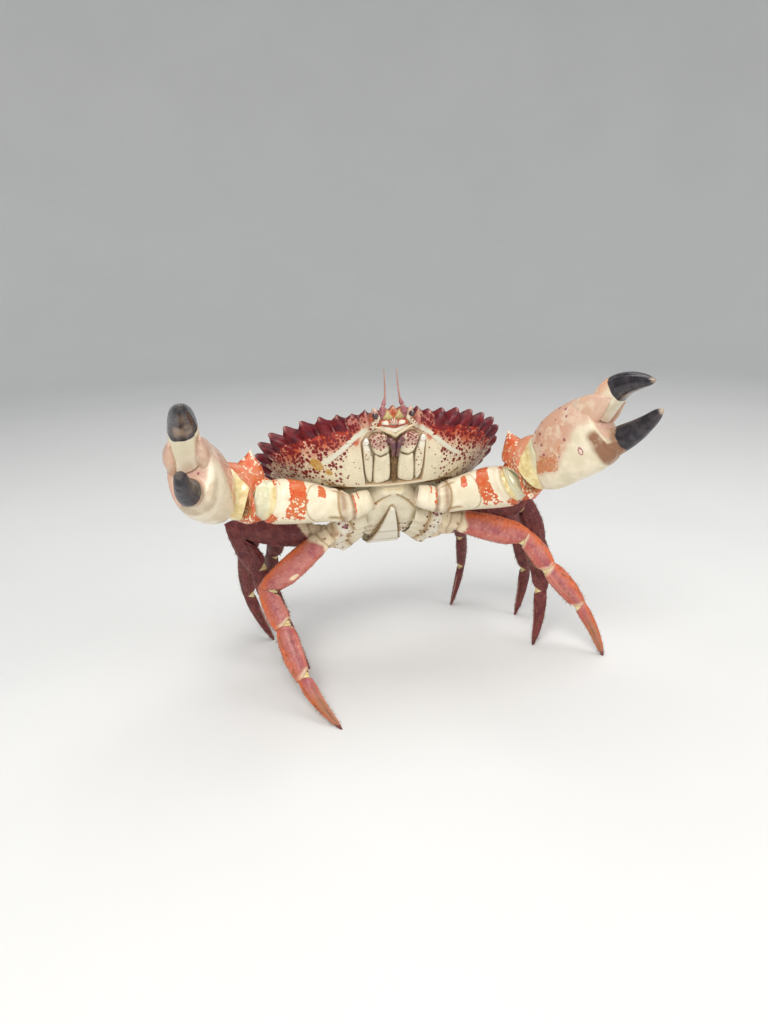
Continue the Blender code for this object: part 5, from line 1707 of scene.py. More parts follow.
def joint_skin(a_axis, b_axis, at, before, after, high, reach, name, seed=0):
    """Soft folded skin that bridges a joint; before and after are its half sizes at the ends."""
    rows = 40
    s = np.linspace(0.0, 1.0, rows)[:, None]
    a = at - a_axis * reach[0]
    b = at + b_axis * reach[1]
    line = (1 - s) ** 2 * a + 2 * s * (1 - s) * at + s ** 2 * b
    way = unit(np.gradient(line, axis=0))
    up = unit(np.asarray(high, float) - way * (way @ np.asarray(high, float))[:, None])
    side = np.cross(up, way)
    q = 2.0 * math.pi * np.arange(56) / 56
    w = before[0] + (after[0] - before[0]) * s
    h = before[1] + (after[1] - before[1]) * s
    claw = name.startswith("claw")
    wrinkle = np.sin(s * 15.0 + 2.4 * np.cos(q)) * 0.02 if claw else np.sin(s * 26.0) * 0.035
    fold = 1.0 + wrinkle * np.sin(math.pi * s)
    grid = line[:, None] + side[:, None] * (w * fold * np.cos(q))[..., None]
    grid = grid + up[:, None] * (h * fold * np.sin(q))[..., None]
    skin = Skin(grid)
    skin.lift(lumps(grid, 3.0, seed) * 0.35)
    if claw:
        cloud = lumps(grid, 6.0, seed + 2)
        skin.mark("film", 0.85 * ease(0.42, 0.62, s + 0.1 * cloud))
        skin.mark("seam", 0.22 * bell(s + 0.03 * cloud, 0.42, 0.03))
    else:
        # dark lines painted in the hollows of the folds: painted shade in the creases
        skin.mark("seam", 0.3 * (np.sin(s * 26.0) < -0.75))
    return piece(skin, name, "membrane")


def build_claws():
    for side, word in SIDES:
        claw_base(side, word)
        claw_arm(side, word)
        claw_hand(side, word)


def claw_chain(side):
    """Inner end of the base, the joints after it, the roll, the aims, the directions and the joint planes."""
    points, roll, aims = claw_joints(side)
    inner = stand((side * CLAW_COXA_IN[0], CLAW_COXA_IN[1], CLAW_COXA_IN[2]))
    chain = [inner] + points
    dirs = [unit(chain[k + 1] - chain[k]) for k in range(4)]
    joints = [(chain[k], unit(dirs[k - 1] + dirs[k])) for k in (1, 2)]
    high = unit(roll - dirs[3] * np.dot(roll, dirs[3]))
    wrist = unit(unit(dirs[2] + dirs[3]) - high * WRIST_SLANT)
    joints.append((chain[3] - dirs[3] * WRIST_SET, wrist))
    return inner, points, roll, aims, dirs, joints


def claw_base(side, word):
    inner, points, _, _, _, joints = claw_chain(side)
    coxa = limb(inner, points[0], ARM_UP, CLAW_COXA, end=near_side(joints[0]), sides=72, steps=46)
    q = mirrored(coxa.angle, side)
    t = coxa.t
    coxa.lift(0.25 * bell(t, 0.86, 0.08) - 0.35 * bell(t, 0.62, 0.05) * ease(120.0, 80.0, np.abs(q)))
    bend = t - 0.05 * np.sin(np.radians(q * 2))
    coxa.mark("flush", 0.75 * bell(bend, 0.62, 0.035) * ease(5.0, 30.0, q) * ease(120.0, 90.0, q))
    coxa.mark("flush", 0.8 * bell(t, 0.93, 0.05) * ease(-50.0, -10.0, q) * ease(95.0, 40.0, q))
    coxa.mark("film", 0.9 * bell(t, 1.0, 0.09))
    coxa.mark("film", 0.35 * ease(0.25, 0.0, t))
    piece(coxa, f"claw_base_{word}", "arm", (f"claw_coxa_{word}",))


def claw_arm(side, word):
    """Long arm piece, the wrist with its peak, and the joint skins of elbow and wrist."""
    _, points, roll, _, dirs, joints = claw_chain(side)
    merus = limb(points[0], points[1], ARM_UP, CLAW_MERUS, far_side(joints[0]), near_side(joints[1]),
                 sides=112, steps=104, bow=0.8, open_foot=(CAMERA_WAY, 4.0, 1.3))
    arm_marks(merus, side)
    piece(merus, f"claw_arm_{word}", "arm", (f"claw_merus_{word}",))
    gape, reach = (3.0, 17.0) if side < 0 else (8.0, 11.0)
    wrist = limb(points[1], points[2], roll, CLAW_CARPUS, far_side(joints[1]), near_side(joints[2]),
                 sides=104, steps=60, bow=0.8, open_head=(CAMERA_WAY, 11.0, 1.2),
                 open_foot=(CAMERA_WAY, gape, 1.1))
    wrist_marks(wrist, side)
    bundle = Bundle()
    bundle.skin(wrist)
    bundle.skin(wrist_spine(side, points, roll))
    piece(bundle, f"claw_wrist_{word}", "arm", (f"claw_carpus_{word}",))
    joint_skin(dirs[1], dirs[2], points[1], (9.6, 11.6), (10.4, 12.6), ARM_UP, (9.0, 9.0),
               f"claw_skin_elbow_{word}", 3)
    joint_skin(dirs[2], dirs[3], points[2], (12.4, 15.6), (10.4, 15.6), roll, (reach, 8.5),
               f"claw_skin_wrist_{word}", 4)


def arm_marks(merus, side):
    """Cream arm: basal suture and frame, a small red patch, a broad rust band and a rust lobe at the end."""
    t = merus.t
    q = mirrored(merus.angle, side)
    fold = np.abs(q)
    turn = np.radians(q)
    body = unstand(merus.grid)
    wave = lumps(body, 5.0, 41) * 0.6 + lumps(body, 2.4, 42) * 0.35
    suture = bell(t, 0.365 + 0.265 * np.cos(turn), 0.008) * ease(125.0, 85.0, fold)
    frame_line = bell(t, 0.165 + 0.035 * np.cos(turn * 2), 0.016) * ease(110.0, 80.0, fold)
    rim_up = bell(q, 52.0, 6.0) * ease(0.03, 0.06, t) * ease(0.3, 0.2, t)
    rim_low = bell(q, -48.0, 7.0) * ease(0.1, 0.15, t) * ease(0.36, 0.28, t)
    tooth = bell(t, 0.11, 0.05) * bell(q, -18.0, 26.0)
    ridge = bell(q, 14.0, 16.0) * ease(0.12, 0.18, t) * ease(0.36, 0.24, t)
    relief = -0.55 * suture - 0.9 * frame_line - 0.7 * rim_up - 0.7 * rim_low + 0.8 * tooth + 0.7 * ridge
    relief = relief + 0.8 * bell(t, 0.975, 0.022) + lumps(body, 8.0, 44) * 0.25
    merus.lift(relief * ease(0.0, 0.03, t))
    merus.mark("seam", 0.85 * suture + 0.9 * frame_line)
    merus.mark("seam", 0.7 * rim_up + 0.8 * rim_low)
    frame_film = bell(t, 0.13, 0.05) * ease(110.0, 70.0, fold) + rim_up * 0.6 + rim_low * 0.6
    merus.mark("film", 0.8 * ease(0.06, 0.0, t))
    merus.mark("film", 0.75 * np.clip(frame_film, 0, 1))
    band = ease(0.60, 0.64, t + wave * 0.01) * ease(0.87, 0.82, t + 0.03 * np.sin(turn) + wave * 0.02)
    band = band * (0.42 + 0.5 * ease(-48.0, 48.0, q + wave * 10.0))
    merus.mark("flush", band * ease(-62.0, -40.0, q + wave * 6.0) * ease(150.0, 130.0, fold))
    small = ease(0.35, 0.37, t) * ease(0.475, 0.45, t + 0.0009 * (q - 30.0))
    merus.mark("flush", small * ease(8.0, 22.0, q) * ease(70.0, 52.0, q) * 0.95)
    merus.mark("flush", ease(0.9, 0.96, t + wave * 0.01) * ease(-30.0, -48.0, q + wave * 8.0) * 0.9)
    merus.mark("flush", ease(0.93, 0.97, t) * ease(40.0, 70.0, q) * 0.6)
    behind = ease(110.0, 140.0, fold + wave * 8.0) * ease(0.3, 0.45, t)
    merus.mark("back", behind * ease(-10.0, 20.0, q + 40.0 + wave * 20) * 0.85)
    merus.mark("back", behind * 0.55)


def wrist_marks(wrist, side):
    """Rust and tan over the wrist, rough above, with pale rims at both joints."""
    t = wrist.t
    q = mirrored(wrist.angle, side)
    body = unstand(wrist.grid)
    wave = lumps(body, 6.0, 51) * 0.6 + lumps(body, 2.5, 52) * 0.35
    rough = beads(body, 2.2, 53, 0.5) * ease(20.0, 60.0, 90.0 - np.abs(q - 40.0))
    rims = 0.7 * bell(t, 0.95, 0.035) + 0.5 * bell(t, 0.05, 0.04)
    wrist.lift(rims + 0.22 * rough + lumps(body, 7.0, 54) * 0.4)
    wrist.mark("flush", 0.62 + 0.4 * wave + 0.25 * ease(20.0, 80.0, q))
    wrist.mark("flush", ease(0.5, 0.3, t) * ease(-30.0, -55.0, q))
    wrist.clear("flush", 1.0 - 0.95 * ease(0.06, 0.0, t))
    wrist.mark("blush", 0.75 * ease(0.25, 0.6, t + wave * 0.1) * ease(-60.0, -10.0, q))
    wrist.mark("seam", 0.4 * bell(t, 1.0, 0.03))


# the peak of the wrist, drawn broader at its foot than the solid's so that it flows into the wrist
DOME_FOOT = ((0.92, 0.6), (0.7, 2.0), (0.4, 3.0))
SPINE_FINE = (
    (0.0, 7.0, 8.0), (0.2, 8.8, 10.0), (0.4, 7.8, 8.8), (0.65, 5.0, 5.6), (0.87, 2.1, 2.3), (1.0, 0.6, 0.6),
)


def wrist_spine(side, points, roll):
    a, b = points[1], points[2]
    axis = unit(b - a)
    up = unit(roll - axis * np.dot(roll, axis))
    inward = np.array([-side * 0.9, -0.4, 0.0])
    root = a + axis * CLAW_LENGTHS[1] * 0.6 + up * (CLAW_CARPUS[2][2] - 10.0) + inward * 4.0
    tip = root + up * (SPINE_RISE + 5.0) + axis * 4.0 + inward * 1.5
    spine = limb(root, tip, axis, SPINE_FINE, sides=56, steps=48, head=DOME_FOOT, foot=POINT)
    body = unstand(spine.grid)
    spine.lift(0.2 * beads(body, 2.2, 56, 0.5) + 0.5 * lumps(body, 5.0, 57))
    wave = lumps(body, 3.0, 58)
    spine.mark("flush", 0.62 + 0.35 * wave - 0.5 * ease(0.8, 1.0, spine.t))
    spine.mark("blush", 0.5 * ease(0.7, 0.2, spine.t + 0.2 * wave))
    spine.mark("worn", 0.55 * ease(0.9, 1.0, spine.t))
    return spine


# hinge lobes beside the moving finger: how far out they stand, and half sizes along them
LOBE_LEAN = 8.4
LOBE_SIZES = ((1.5, 4.0), (4.2, 9.0), (4.4, 8.2), (2.9, 5.6), (1.1, 2.2))


def palm_skin(side, base, axis, roll, joint):
    """Palm and fixed finger in one."""
    rows, total = finger_rows(-side)
    split = CLAW_LENGTHS[2] / total
    stops = np.concatenate([
        np.linspace(0.0, split - 0.012, 84)[:-1], np.linspace(split - 0.012, split + 0.02, 22)[:-1],
        np.linspace(split + 0.02, 1.0, 62),
    ])
    palm = limb(base, base + axis * total, roll, rows, far_side(joint), None, sides=128, square=2.25,
                stops=stops, foot=POINT, open_head=(CAMERA_WAY, 5.0, 1.5), fade=3)
    first, last = palm.inner
    palm.soften(first + 76, first + 116, 26)
    palm.soften(first + 100, last + 2, 40)
    palm_marks(palm, side, split)
    return palm


def claw_hand(side, word):
    _, points, roll, aims, dirs, joints = claw_chain(side)
    base = points[2]
    axis = dirs[3]
    high = unit(roll - axis * np.dot(roll, axis))
    out = np.cross(high, axis)
    hinge = base + axis * (CLAW_LENGTHS[2] + 1.2) + high * HINGE_RISE
    swing = unit(aim(*aims[3]))
    bundle = Bundle()
    bundle.skin(palm_skin(side, base, axis, roll, joints[2]))
    for i in range(5):
        f = 0.16 + i * 0.15
        middle = FINGER_ROOT[2] + (FINGER_TIP[2] - FINGER_ROOT[2]) * f
        at = base + axis * (CLAW_LENGTHS[2] + f * FINGER_LENGTH) + out * (-side * FINGER_INWARD * f ** 1.4)
        at = at + high * (middle + FINGER_ROOT[1] * (1 - f) ** 0.8 - 2.1)
        bundle.skin(crusher(at, axis, high, 2.4 - 0.28 * i, i))
    for lean in (-LOBE_LEAN, LOBE_LEAN):
        at = hinge + out * lean
        path = [at - axis * 16.0, at - axis * 7.0, at + swing * 1.0, at + swing * 7.0, at + swing * 12.0]
        lobe = sweep(path, LOBE_SIZES, sides=36, per=12, high=high)
        lobe.mark("wash", 0.8)
        lobe.mark("blush", 0.5 * ease(0.3, 0.9, lobe.t))
        bundle.skin(lobe)
    piece(bundle, f"claw_palm_{word}_fine", "palm", (f"claw_palm_{word}",))
    moving_finger(side, word, axis, high, hinge, swing)
    joint_skin(axis, swing, hinge - axis * 0.5, (6.4, 7.0), (6.3, 7.0), high, (4.0, 3.4),
               f"claw_skin_hinge_{word}", 8)


def moving_finger(side, word, axis, high, hinge, swing):
    """Black-ended moving finger with its row of crushing teeth."""
    tip = hinge + swing * CLAW_LENGTHS[3]
    finger = limb(hinge, tip, high, CLAW_DACTYL, (hinge + axis * GAP, axis), None, sides=80, steps=96,
                  bow=DACTYL_BOW, foot=POINT)
    finger.soften(finger.inner[0] + 8, finger.inner[1] + 2, 40)
    t = finger.t
    q = mirrored(finger.angle, side)
    finger.lift(-0.35 * bell(np.abs(q), 40.0, 7.0) * ease(0.08, 0.2, t) * ease(0.95, 0.7, t))
    body = unstand(finger.grid)
    wave = lumps(body, 4.0, 61)
    finger.mark("dark", 1.2 * ease(0.37, 0.41, t + wave * 0.012 - 0.05 * ease(30.0, 90.0, q)))
    finger.mark("wash", ease(-40.0, 50.0, q + wave * 10.0) * ease(0.0, 0.12, t))
    finger.mark("blush", 0.4 * ease(0.14, 0.02, t))
    finger.mark("worn", (0.8 if side > 0 else 0.1) * ease(0.96, 0.99, t))
    rubbed = np.exp(-(((t - 0.54) / 0.1) ** 4 + ((q + 90.0) / 42.0) ** 4))
    finger.mark("worn", np.clip(rubbed * (0.6 + 0.7 * lumps(body, 2.6, 63)), 0, 0.9))
    finger.mark("worn", 0.4 * bell(t, 0.8, 0.1) * bell(q, -90.0, 26.0))
    down = unit(-high + swing * np.dot(high, swing))
    bundle = Bundle()
    bundle.skin(finger)
    for i in range(4):
        f = 0.44 + i * 0.12
        drop = along(CLAW_DACTYL, f)[1] - DACTYL_BOW * math.sin(math.pi * f) - 1.1
        at = hinge + swing * (f * CLAW_LENGTHS[3]) + down * drop
        bundle.skin(crusher(at, swing, down, 2.1 - 0.26 * i, i + 9))
    piece(bundle, f"claw_finger_{word}", "finger", (f"claw_dactyl_{word}",))


def crusher(at, axis, high, radius, seed):
    """Blunt black crushing tooth."""
    side = np.cross(axis, high)
    lon = 2.0 * math.pi * np.arange(20) / 20
    ring = axis[None] * np.cos(lon)[:, None] * 1.15 + side[None] * np.sin(lon)[:, None]
    lat = np.linspace(0.0, 1.0, 12)[:, None]
    grid = at + high * ((lat * 1.5 - 1.0) * radius * 0.95)[..., None]
    grid = grid + ring[None] * (radius * np.sqrt(np.clip(1.0 - (lat * 0.985) ** 2.6, 0, 1)))[..., None]
    skin = Skin(grid)
    skin.lift(lumps(grid, 1.5, seed) * 0.15)
    skin.mark("dark", 1.2)
    skin.mark("worn", 0.5 * ease(0.75, 1.0, lat))
    return skin


def palm_marks(palm, side, split):
    """Pinkish-tan above, cream below, brown at the root of the black fixed finger."""
    left = side > 0
    t = palm.t / split
    q = mirrored(palm.angle, side)
    body = unstand(palm.grid)
    wave = lumps(body, 7.0, 71) * 0.6 + lumps(body, 3.0, 72) * 0.35
    condyle = bell(t, 0.04, 0.04) * bell(np.abs(q), 35.0, 22.0)
    rough = beads(body, 2.6, 75, 0.45) * ease(20.0, 80.0, q) * (t < 1.0)
    palm.lift(0.9 * condyle + lumps(body, 11.0, 74) * 0.35 + 0.25 * rough)
    border = -34.0 + 46.0 * ease(0.25, 0.9, t) + wave * 8.0
    tan_front = ease(-10.0, 10.0, q - border) * (q > -100.0) * (q < 120.0)
    upper = np.maximum(tan_front, ((q >= 110.0) | (q < -135.0)) * 1.0) * ease(1.14, 1.0, t)
    palm.mark("wash", upper * 0.95)
    palm.mark("blush", 0.7 * upper * ease(0.5, 0.9, t + wave * 0.1) * ease(1.1, 1.0, t))
    palm.mark("flush", upper * (0.1 + 0.75 * bell(q - border, 8.0, 18.0) * ease(0.6, 0.2, t + wave * 0.1)))
    palm.mark("spots", 0.3 * upper)
    brown = ease(0.84, 0.93, t + wave * 0.02) * ease(1.35, 1.2, t) * ease(2.0, -16.0, q + wave * 3.0)
    palm.mark("film", (1.2 if left else 0.36) * brown)
    palm.mark("film", 0.9 * ease(0.98, 1.12, t))
    palm.mark("dark", 1.2 * ease(1.1, 1.24, t + wave * 0.03))
    palm.mark("worn", (0.6 if left else 0.1) * ease(1.76, 1.81, t))
    palm.mark("worn", 0.35 * bell(t, 1.35, 0.1) * bell(q, 90.0, 30.0))
    if left:
        palm.mark("stain", 0.9 * bell(bell(t, 0.74, 0.03) * bell(q, -24.0, 6.0), 0.5, 0.25))
    palm.mark("seam", 0.25 * bell(palm.t, 0.0, 0.02))


# walking legs


def coxa_root(side, hip):
    x, along_body, rise = COXA_IN
    return stand((side * x, hip[1] * along_body, hip[2] + rise))


def leg_joints(side, i):
    """Joint points of one walking leg, bent evenly until it reaches its foot."""
    hip = stand((side * LEG_HIPS[i][0], LEG_HIPS[i][1], LEG_HIPS[i][2]))
    foot = (FEET_RIGHT if side < 0 else FEET_LEFT)[i]
    foot = np.array([foot[0], foot[1], 0.0])
    knee = (KNEES_RIGHT if side < 0 else KNEES_LEFT)[i]
    lengths = [v * LEG_SIZES[i] for v in LEG_LENGTHS]
    reach = np.linalg.norm(foot - hip)
    line = (foot - hip) / reach
    out = unit(np.asarray(knee) - line * np.dot(knee, line))
    turns = np.concatenate([[0.0], -np.cumsum((LEG_BENDS_RIGHT if side < 0 else LEG_BENDS_LEFT)[i])])
    low, high = 0.0, 3.0
    for _ in range(50):
        mid = (low + high) / 2
        x = sum(v * math.cos(mid * t) for v, t in zip(lengths, turns))
        y = sum(v * math.sin(mid * t) for v, t in zip(lengths, turns))
        if math.hypot(x, y) > reach:
            low = mid
        else:
            high = mid
    start = -math.atan2(y, x)
    points = [hip]
    for v, t in zip(lengths, turns):
        q = start + mid * t
        points.append(points[-1] + v * (line * math.cos(q) + out * math.sin(q)))
    return points, out


def leg_starts(side):
    starts = []
    for i in range(4):
        points, _ = leg_joints(side, i)
        starts.append(unit(points[1] - points[0]))
    return starts


# articles of a walking leg, their outlines, rows of the mesh, and count and length of their hair
LEG_PARTS = ("merus", "carpus", "propodus", "dactyl")
LEG_TABLES = (LEG_MERUS, LEG_CARPUS, LEG_PROPODUS, LEG_DACTYL)
LEG_ROWS = (110, 54, 66, 72)
HAIR_COUNTS = (50, 60, 150, 170)
HAIR_LENGTHS = (1.5, 1.9, 2.3, 1.9)

# how maroon each of the four legs is, from the front
LEG_DARK = (0.0, 0.9, 0.98, 1.0)


def build_legs():
    for side, word in SIDES:
        for i in range(4):
            walking_leg(side, word, i)


def walking_leg(side, word, i):
    points, out = leg_joints(side, i)
    size = LEG_SIZES[i]
    down = np.array([0, 0, -1.0])
    inner = coxa_root(side, LEG_HIPS[i])
    dirs = [unit(points[0] - inner)] + [unit(points[k + 1] - points[k]) for k in range(4)] + [down]
    hairs = []
    for k in range(4):
        last = k == 3
        start = far_side((points[k], unit(dirs[k] + dirs[k + 1])))
        end = (points[4], down) if last else near_side((points[k + 1], unit(dirs[k + 1] + dirs[k + 2])))
        table = [(t, w * size, h * size) for t, w, h in LEG_TABLES[k]]
        skin = limb(points[k], points[k + 1], out, table, start, end, sides=72, steps=LEG_ROWS[k],
                    bow=1.5 if last else 0.8, foot=POINT if last else LIP,
                    open_foot=None if last else (-out, 3.2 * size, 1.6),
                    open_head=(-out, 2.0 * size, 1.6) if k > 0 else None)
        leg_relief(skin, k, i)
        leg_marks(skin, k, i)
        part = f"leg{i + 1}_{LEG_PARTS[k]}_{word}"
        piece(skin, part + "_fine", "leg", (part,))
        hairs += leg_hairs(skin, k, i, side, size)
        if k > 0:
            before = [v * size * 0.86 for v in LEG_TABLES[k - 1][-1][1:]]
            after = [v * size * 0.86 for v in LEG_TABLES[k][0][1:]]
            joint_skin(dirs[k], dirs[k + 1], points[k], before, after, out, (4.5 * size, 4.0 * size),
                       f"leg{i + 1}_skin{k}_{word}", k + i)
    roots, ways, lengths = (np.array([hair[j] for hair in hairs]) for j in range(3))
    bristles(roots, ways, lengths, 0.11, (0, 0, -0.1), 100 + i + int(side * 10),
             f"leg{i + 1}_bristles_{word}", "brown_hair")


def leg_relief(skin, k, i):
    """Keels above and below, long grooves on the flat sides and rows of granules."""
    t = skin.t
    q = skin.angle
    body = unstand(skin.grid)
    fold = np.abs(q)
    keel = bell(fold, 90.0, 14.0)
    flank = np.abs(fold - 90.0)
    ends = ease(0.0, 0.08, t) * ease(1.0, 0.9, t)
    if k == 0:
        basal = bell(t, 0.215, 0.012) + 0.7 * bell(t, 0.1, 0.01)
        rows = np.sin(t * 95.0) * bell(flank, 24.0, 9.0) * 0.16
        relief = 0.45 * keel * ends + rows * ease(0.25, 0.35, t) * ends - 0.7 * basal
        relief = relief + 0.26 * beads(body, 1.5, 80 + i, 0.5) * ease(0.24, 0.32, t) * ends
    elif k == 3:
        grooves = bell(flank, 58.0, 9.0) + bell(flank, 24.0, 7.0)
        relief = -0.55 * grooves * ease(0.04, 0.15, t) * ease(0.97, 0.7, t) + 0.15 * keel * ends
    else:
        rows = np.sin(t * (40.0 if k == 1 else 58.0)) * bell(flank, 46.0, 8.0) * 0.14
        relief = (0.5 * keel - 0.6 * bell(flank, 62.0, 14.0) - 0.35 * bell(flank, 30.0, 8.0) + rows) * ends
        coarse = 0.22 * beads(body, 1.4, 90 + i, 0.5) * keel
        relief = relief + (coarse + 0.14 * beads(body, 1.3, 95 + i, 0.5)) * ends
    relief = relief + 0.45 * bell(t, 0.965, 0.02) * (k < 3) + 0.3 * bell(t, 0.03, 0.02) * (k > 0)
    skin.lift(relief * (0.35 + 0.65 * ends) * (0.8 if i == 3 else 1.0))


def leg_marks(skin, k, i):
    """Cream at the root, then pink with a rust crest; the hind legs are dark maroon."""
    t = skin.t
    q = skin.angle
    fold = np.abs(q)
    turn = np.radians(q)
    body = unstand(skin.grid)
    wave = lumps(body, 6.0, 111 + i) * 0.6 + lumps(body, 2.5, 112) * 0.35
    crest = ease(35.0, 75.0, q + wave * 18.0) * ease(165.0, 130.0, q)
    under = ease(-45.0, -75.0, q + wave * 12.0) * ease(-165.0, -135.0, q)
    hind = LEG_DARK[i]
    skin.mark("wash", 1.05 * ease(-0.25, 0.8, np.sin(turn) + 0.3 * wave) + 0.3 * under)
    skin.mark("flush", 0.45 * crest + 0.3 * wave)
    if k == 0:
        root = ease(0.31, 0.26, t + wave * 0.03 - 0.03 * np.sin(turn * 2.0))
        skin.clear("flush", 1.0 - root)
        skin.clear("wash", 1.0 - root)
        skin.mark("pale", root)
        skin.mark("seam", 0.55 * bell(t, 0.215, 0.012) + 0.6 * bell(t, 0.1, 0.012))
        skin.mark("spots", root * 0.3)
        spot = bell(t, 0.78, 0.07) * bell(q, -62.0, 18.0)
        skin.mark("pale", ease(0.35, 0.6, spot + wave * 0.1) * (i == 0))
        skin.mark("dark", hind * ease(0.24, 0.34, t) * (0.9 + 0.15 * wave))
        skin.mark("film", 0.7 * root * ease(0.2, 0.7, lumps(body, 3.2, 117)))
    elif k < 3:
        skin.mark("dark", hind * (0.9 + 0.15 * wave))
        skin.mark("pale", 0.8 * ease(0.1, 0.0, t + wave * 0.02) * ease(20.0, -30.0, 60.0 - fold))
        skin.mark("pale", 0.7 * ease(0.9, 0.97, t + wave * 0.02))
    else:
        skin.mark("dark", np.clip(hind * 0.8 + 0.15, 0, 1) * (0.85 + 0.2 * wave))
        skin.mark("dark", 1.1 * ease(0.86, 0.95, t))
        skin.mark("film", 0.85 * ease(0.05, 0.5, t + wave * 0.05))
        skin.mark("worn", 0.5 * bell(fold, 90.0, 9.0) * ease(0.1, 0.3, t) * ease(1.0, 0.8, t))
    if k < 3:
        rubbed = beads(body, 1.5, 80 + i, 0.34) * ease(0.25 if k == 0 else 0.05, 0.35, t)
        skin.mark("worn", (0.34 if i == 0 else 0.12) * rubbed)
    skin.mark("film", 0.3 * bell(t, 1.0, 0.03))


def leg_hairs(skin, k, i, side, size):
    """Places for the hair along the keels and side grooves of a leg piece."""
    rng = np.random.default_rng(700 + i * 10 + k + int(side))
    lines = (90.0, -90.0, 28.0, -28.0, 152.0, -152.0) if k > 1 else (90.0, -90.0)
    cols = skin.grid.shape[1]
    first, last = skin.inner
    run = last - first
    normals = skin.normals()
    found = []
    for _ in range(HAIR_COUNTS[k]):
        turn = rng.choice(lines) + rng.normal(0.0, 5.0)
        col = int(((turn % 360.0) / 360.0) * cols) % cols
        row = int(rng.uniform(first + 0.12 * run, first + 0.95 * run))
        if k == 0 and row < first + 0.3 * run:
            continue
        way = normals[row, col] + skin.axis * rng.uniform(0.5, 1.3)
        found.append((skin.grid[row, col], way, HAIR_LENGTHS[k] * size))
    return found


# stage


# studio floor that rises into a wall all round: steps round it, and rings of its flat and its bend
FLOOR_SIDES = 96
FLAT_RINGS = 16
BEND_RINGS = 14


def floor_mesh():
    bend = np.linspace(0.1, 1.5, BEND_RINGS)
    flat = np.concatenate([[0.02], np.linspace(0.1, 1.5, FLAT_RINGS)])
    radius = np.concatenate([flat, 1.5 + 0.9 * np.sin(bend)])
    height = np.concatenate([np.zeros(FLAT_RINGS + 1), 0.9 * (1.0 - np.cos(bend))])
    radius = np.append(radius, radius[-1] + 0.01)[:, None]
    height = np.append(height, 3.0)[:, None]
    lon = 2.0 * math.pi * np.arange(FLOOR_SIDES) / FLOOR_SIDES
    grid = np.stack([radius * np.cos(lon), radius * np.sin(lon), height * np.ones(FLOOR_SIDES)], axis=-1)
    index = np.arange(grid.shape[0] * FLOOR_SIDES).reshape(-1, FLOOR_SIDES)
    right = np.roll(index, -1, axis=1)
    quads = np.stack([index[:-1], right[:-1], right[1:], index[1:]], axis=-1).reshape(-1, 4)
    verts = np.vstack([grid.reshape(-1, 3), [[0.0, 0.0, 0.0]]])
    fan = [(int(index[0, k]), int(right[0, k]), len(verts) - 1) for k in range(FLOOR_SIDES)]
    mesh = bpy.data.meshes.new("studio_floor")
    mesh.from_pydata(verts.tolist(), [], quads[:, ::-1].tolist() + fan)
    mesh.polygons.foreach_set("use_smooth", np.ones(len(mesh.polygons), bool))
    return mesh


def build_stage(looks):
    mesh = floor_mesh()
    floor = bpy.data.objects.new("studio_floor", mesh)
    bpy.context.scene.collection.objects.link(floor)
    mat, tree, shader = principled("floor_pale", roughness=0.7)
    tone = tuple(looks.floor)
    deep = tuple(c * 0.97 for c in tone)
    shade = use(tree, "mottle", {"First": tone, "Second": deep, "Size": 0.3, "Contrast": 1.0})
    socket(tree, shader, "Base Color", shade.outputs["Color"])
    mesh.materials.append(mat)
    world = bpy.data.worlds.new("studio_world")
    world.use_nodes = True
    background = world.node_tree.nodes["Background"]
    background.inputs["Color"].default_value = (0.86, 0.92, 1.0, 1.0)
    background.inputs["Strength"].default_value = looks.fill_light
    bpy.context.scene.world = world
    target = Vector((stand((0, 0, 0)) + SHIFT) * 0.001)
    lights = (
        ("key", (-0.4, -0.85, 1.2), 0.7, looks.key_light),
        ("side", (1.0, -0.6, 0.7), 0.8, looks.key_light * 0.35),
        ("top", (0.1, 0.25, 1.3), 1.0, looks.key_light * 0.5),
        ("low", (-0.25, -1.15, 0.22), 0.7, looks.key_light * 0.24),
    )
    for name, place, size, power in lights:
        data = bpy.data.lights.new("studio_" + name, "AREA")
        data.shape = "DISK"
        data.size = size
        data.energy = power
        data.color = (1.0, 0.98, 0.95)
        lamp = bpy.data.objects.new("studio_" + name, data)
        lamp.location = place
        lamp.rotation_mode = "QUATERNION"
        lamp.rotation_quaternion = (target - Vector(place)).to_track_quat("-Z", "Y")
        bpy.context.scene.collection.objects.link(lamp)
    set_camera(target)


def set_camera(target):
    side = Vector(CAMERA_SIDE).normalized()
    back = Vector(CAMERA_BACK)
    back = (back - side * back.dot(side)).normalized()
    up = back.cross(side)
    data = bpy.data.cameras.new("camera")
    data.sensor_fit = "AUTO"
    data.sensor_width = 36.0
    data.lens = 36.0 * FOCAL_PIXELS / PICTURE_HEIGHT
    data.shift_x, data.shift_y = CAMERA_SHIFT
    data.clip_start = 0.01
    camera = bpy.data.objects.new("camera", data)
    turn = Matrix((side, up, back)).transposed().to_4x4()
    camera.matrix_world = Matrix.Translation(target + back * CAMERA_DISTANCE) @ turn
    bpy.context.scene.collection.objects.link(camera)
    bpy.context.scene.camera = camera
    bpy.context.scene.view_settings.view_transform = "Standard"


# add-on


class CrabSizes(bpy.types.PropertyGroup):
    """Fine sizes that don't change the solids."""

    granule_height: FloatProperty(
        name="Granule height", description="Height of the granules on the back",
        default=0.0003, min=0.0, max=0.001, unit="LENGTH", precision=5,
    )
    tooth_swell: FloatProperty(
        name="Tooth swell", description="How far the margin's teeth swell out, as a share of normal",
        default=1.0, min=0.0, max=1.5, subtype="FACTOR",
    )


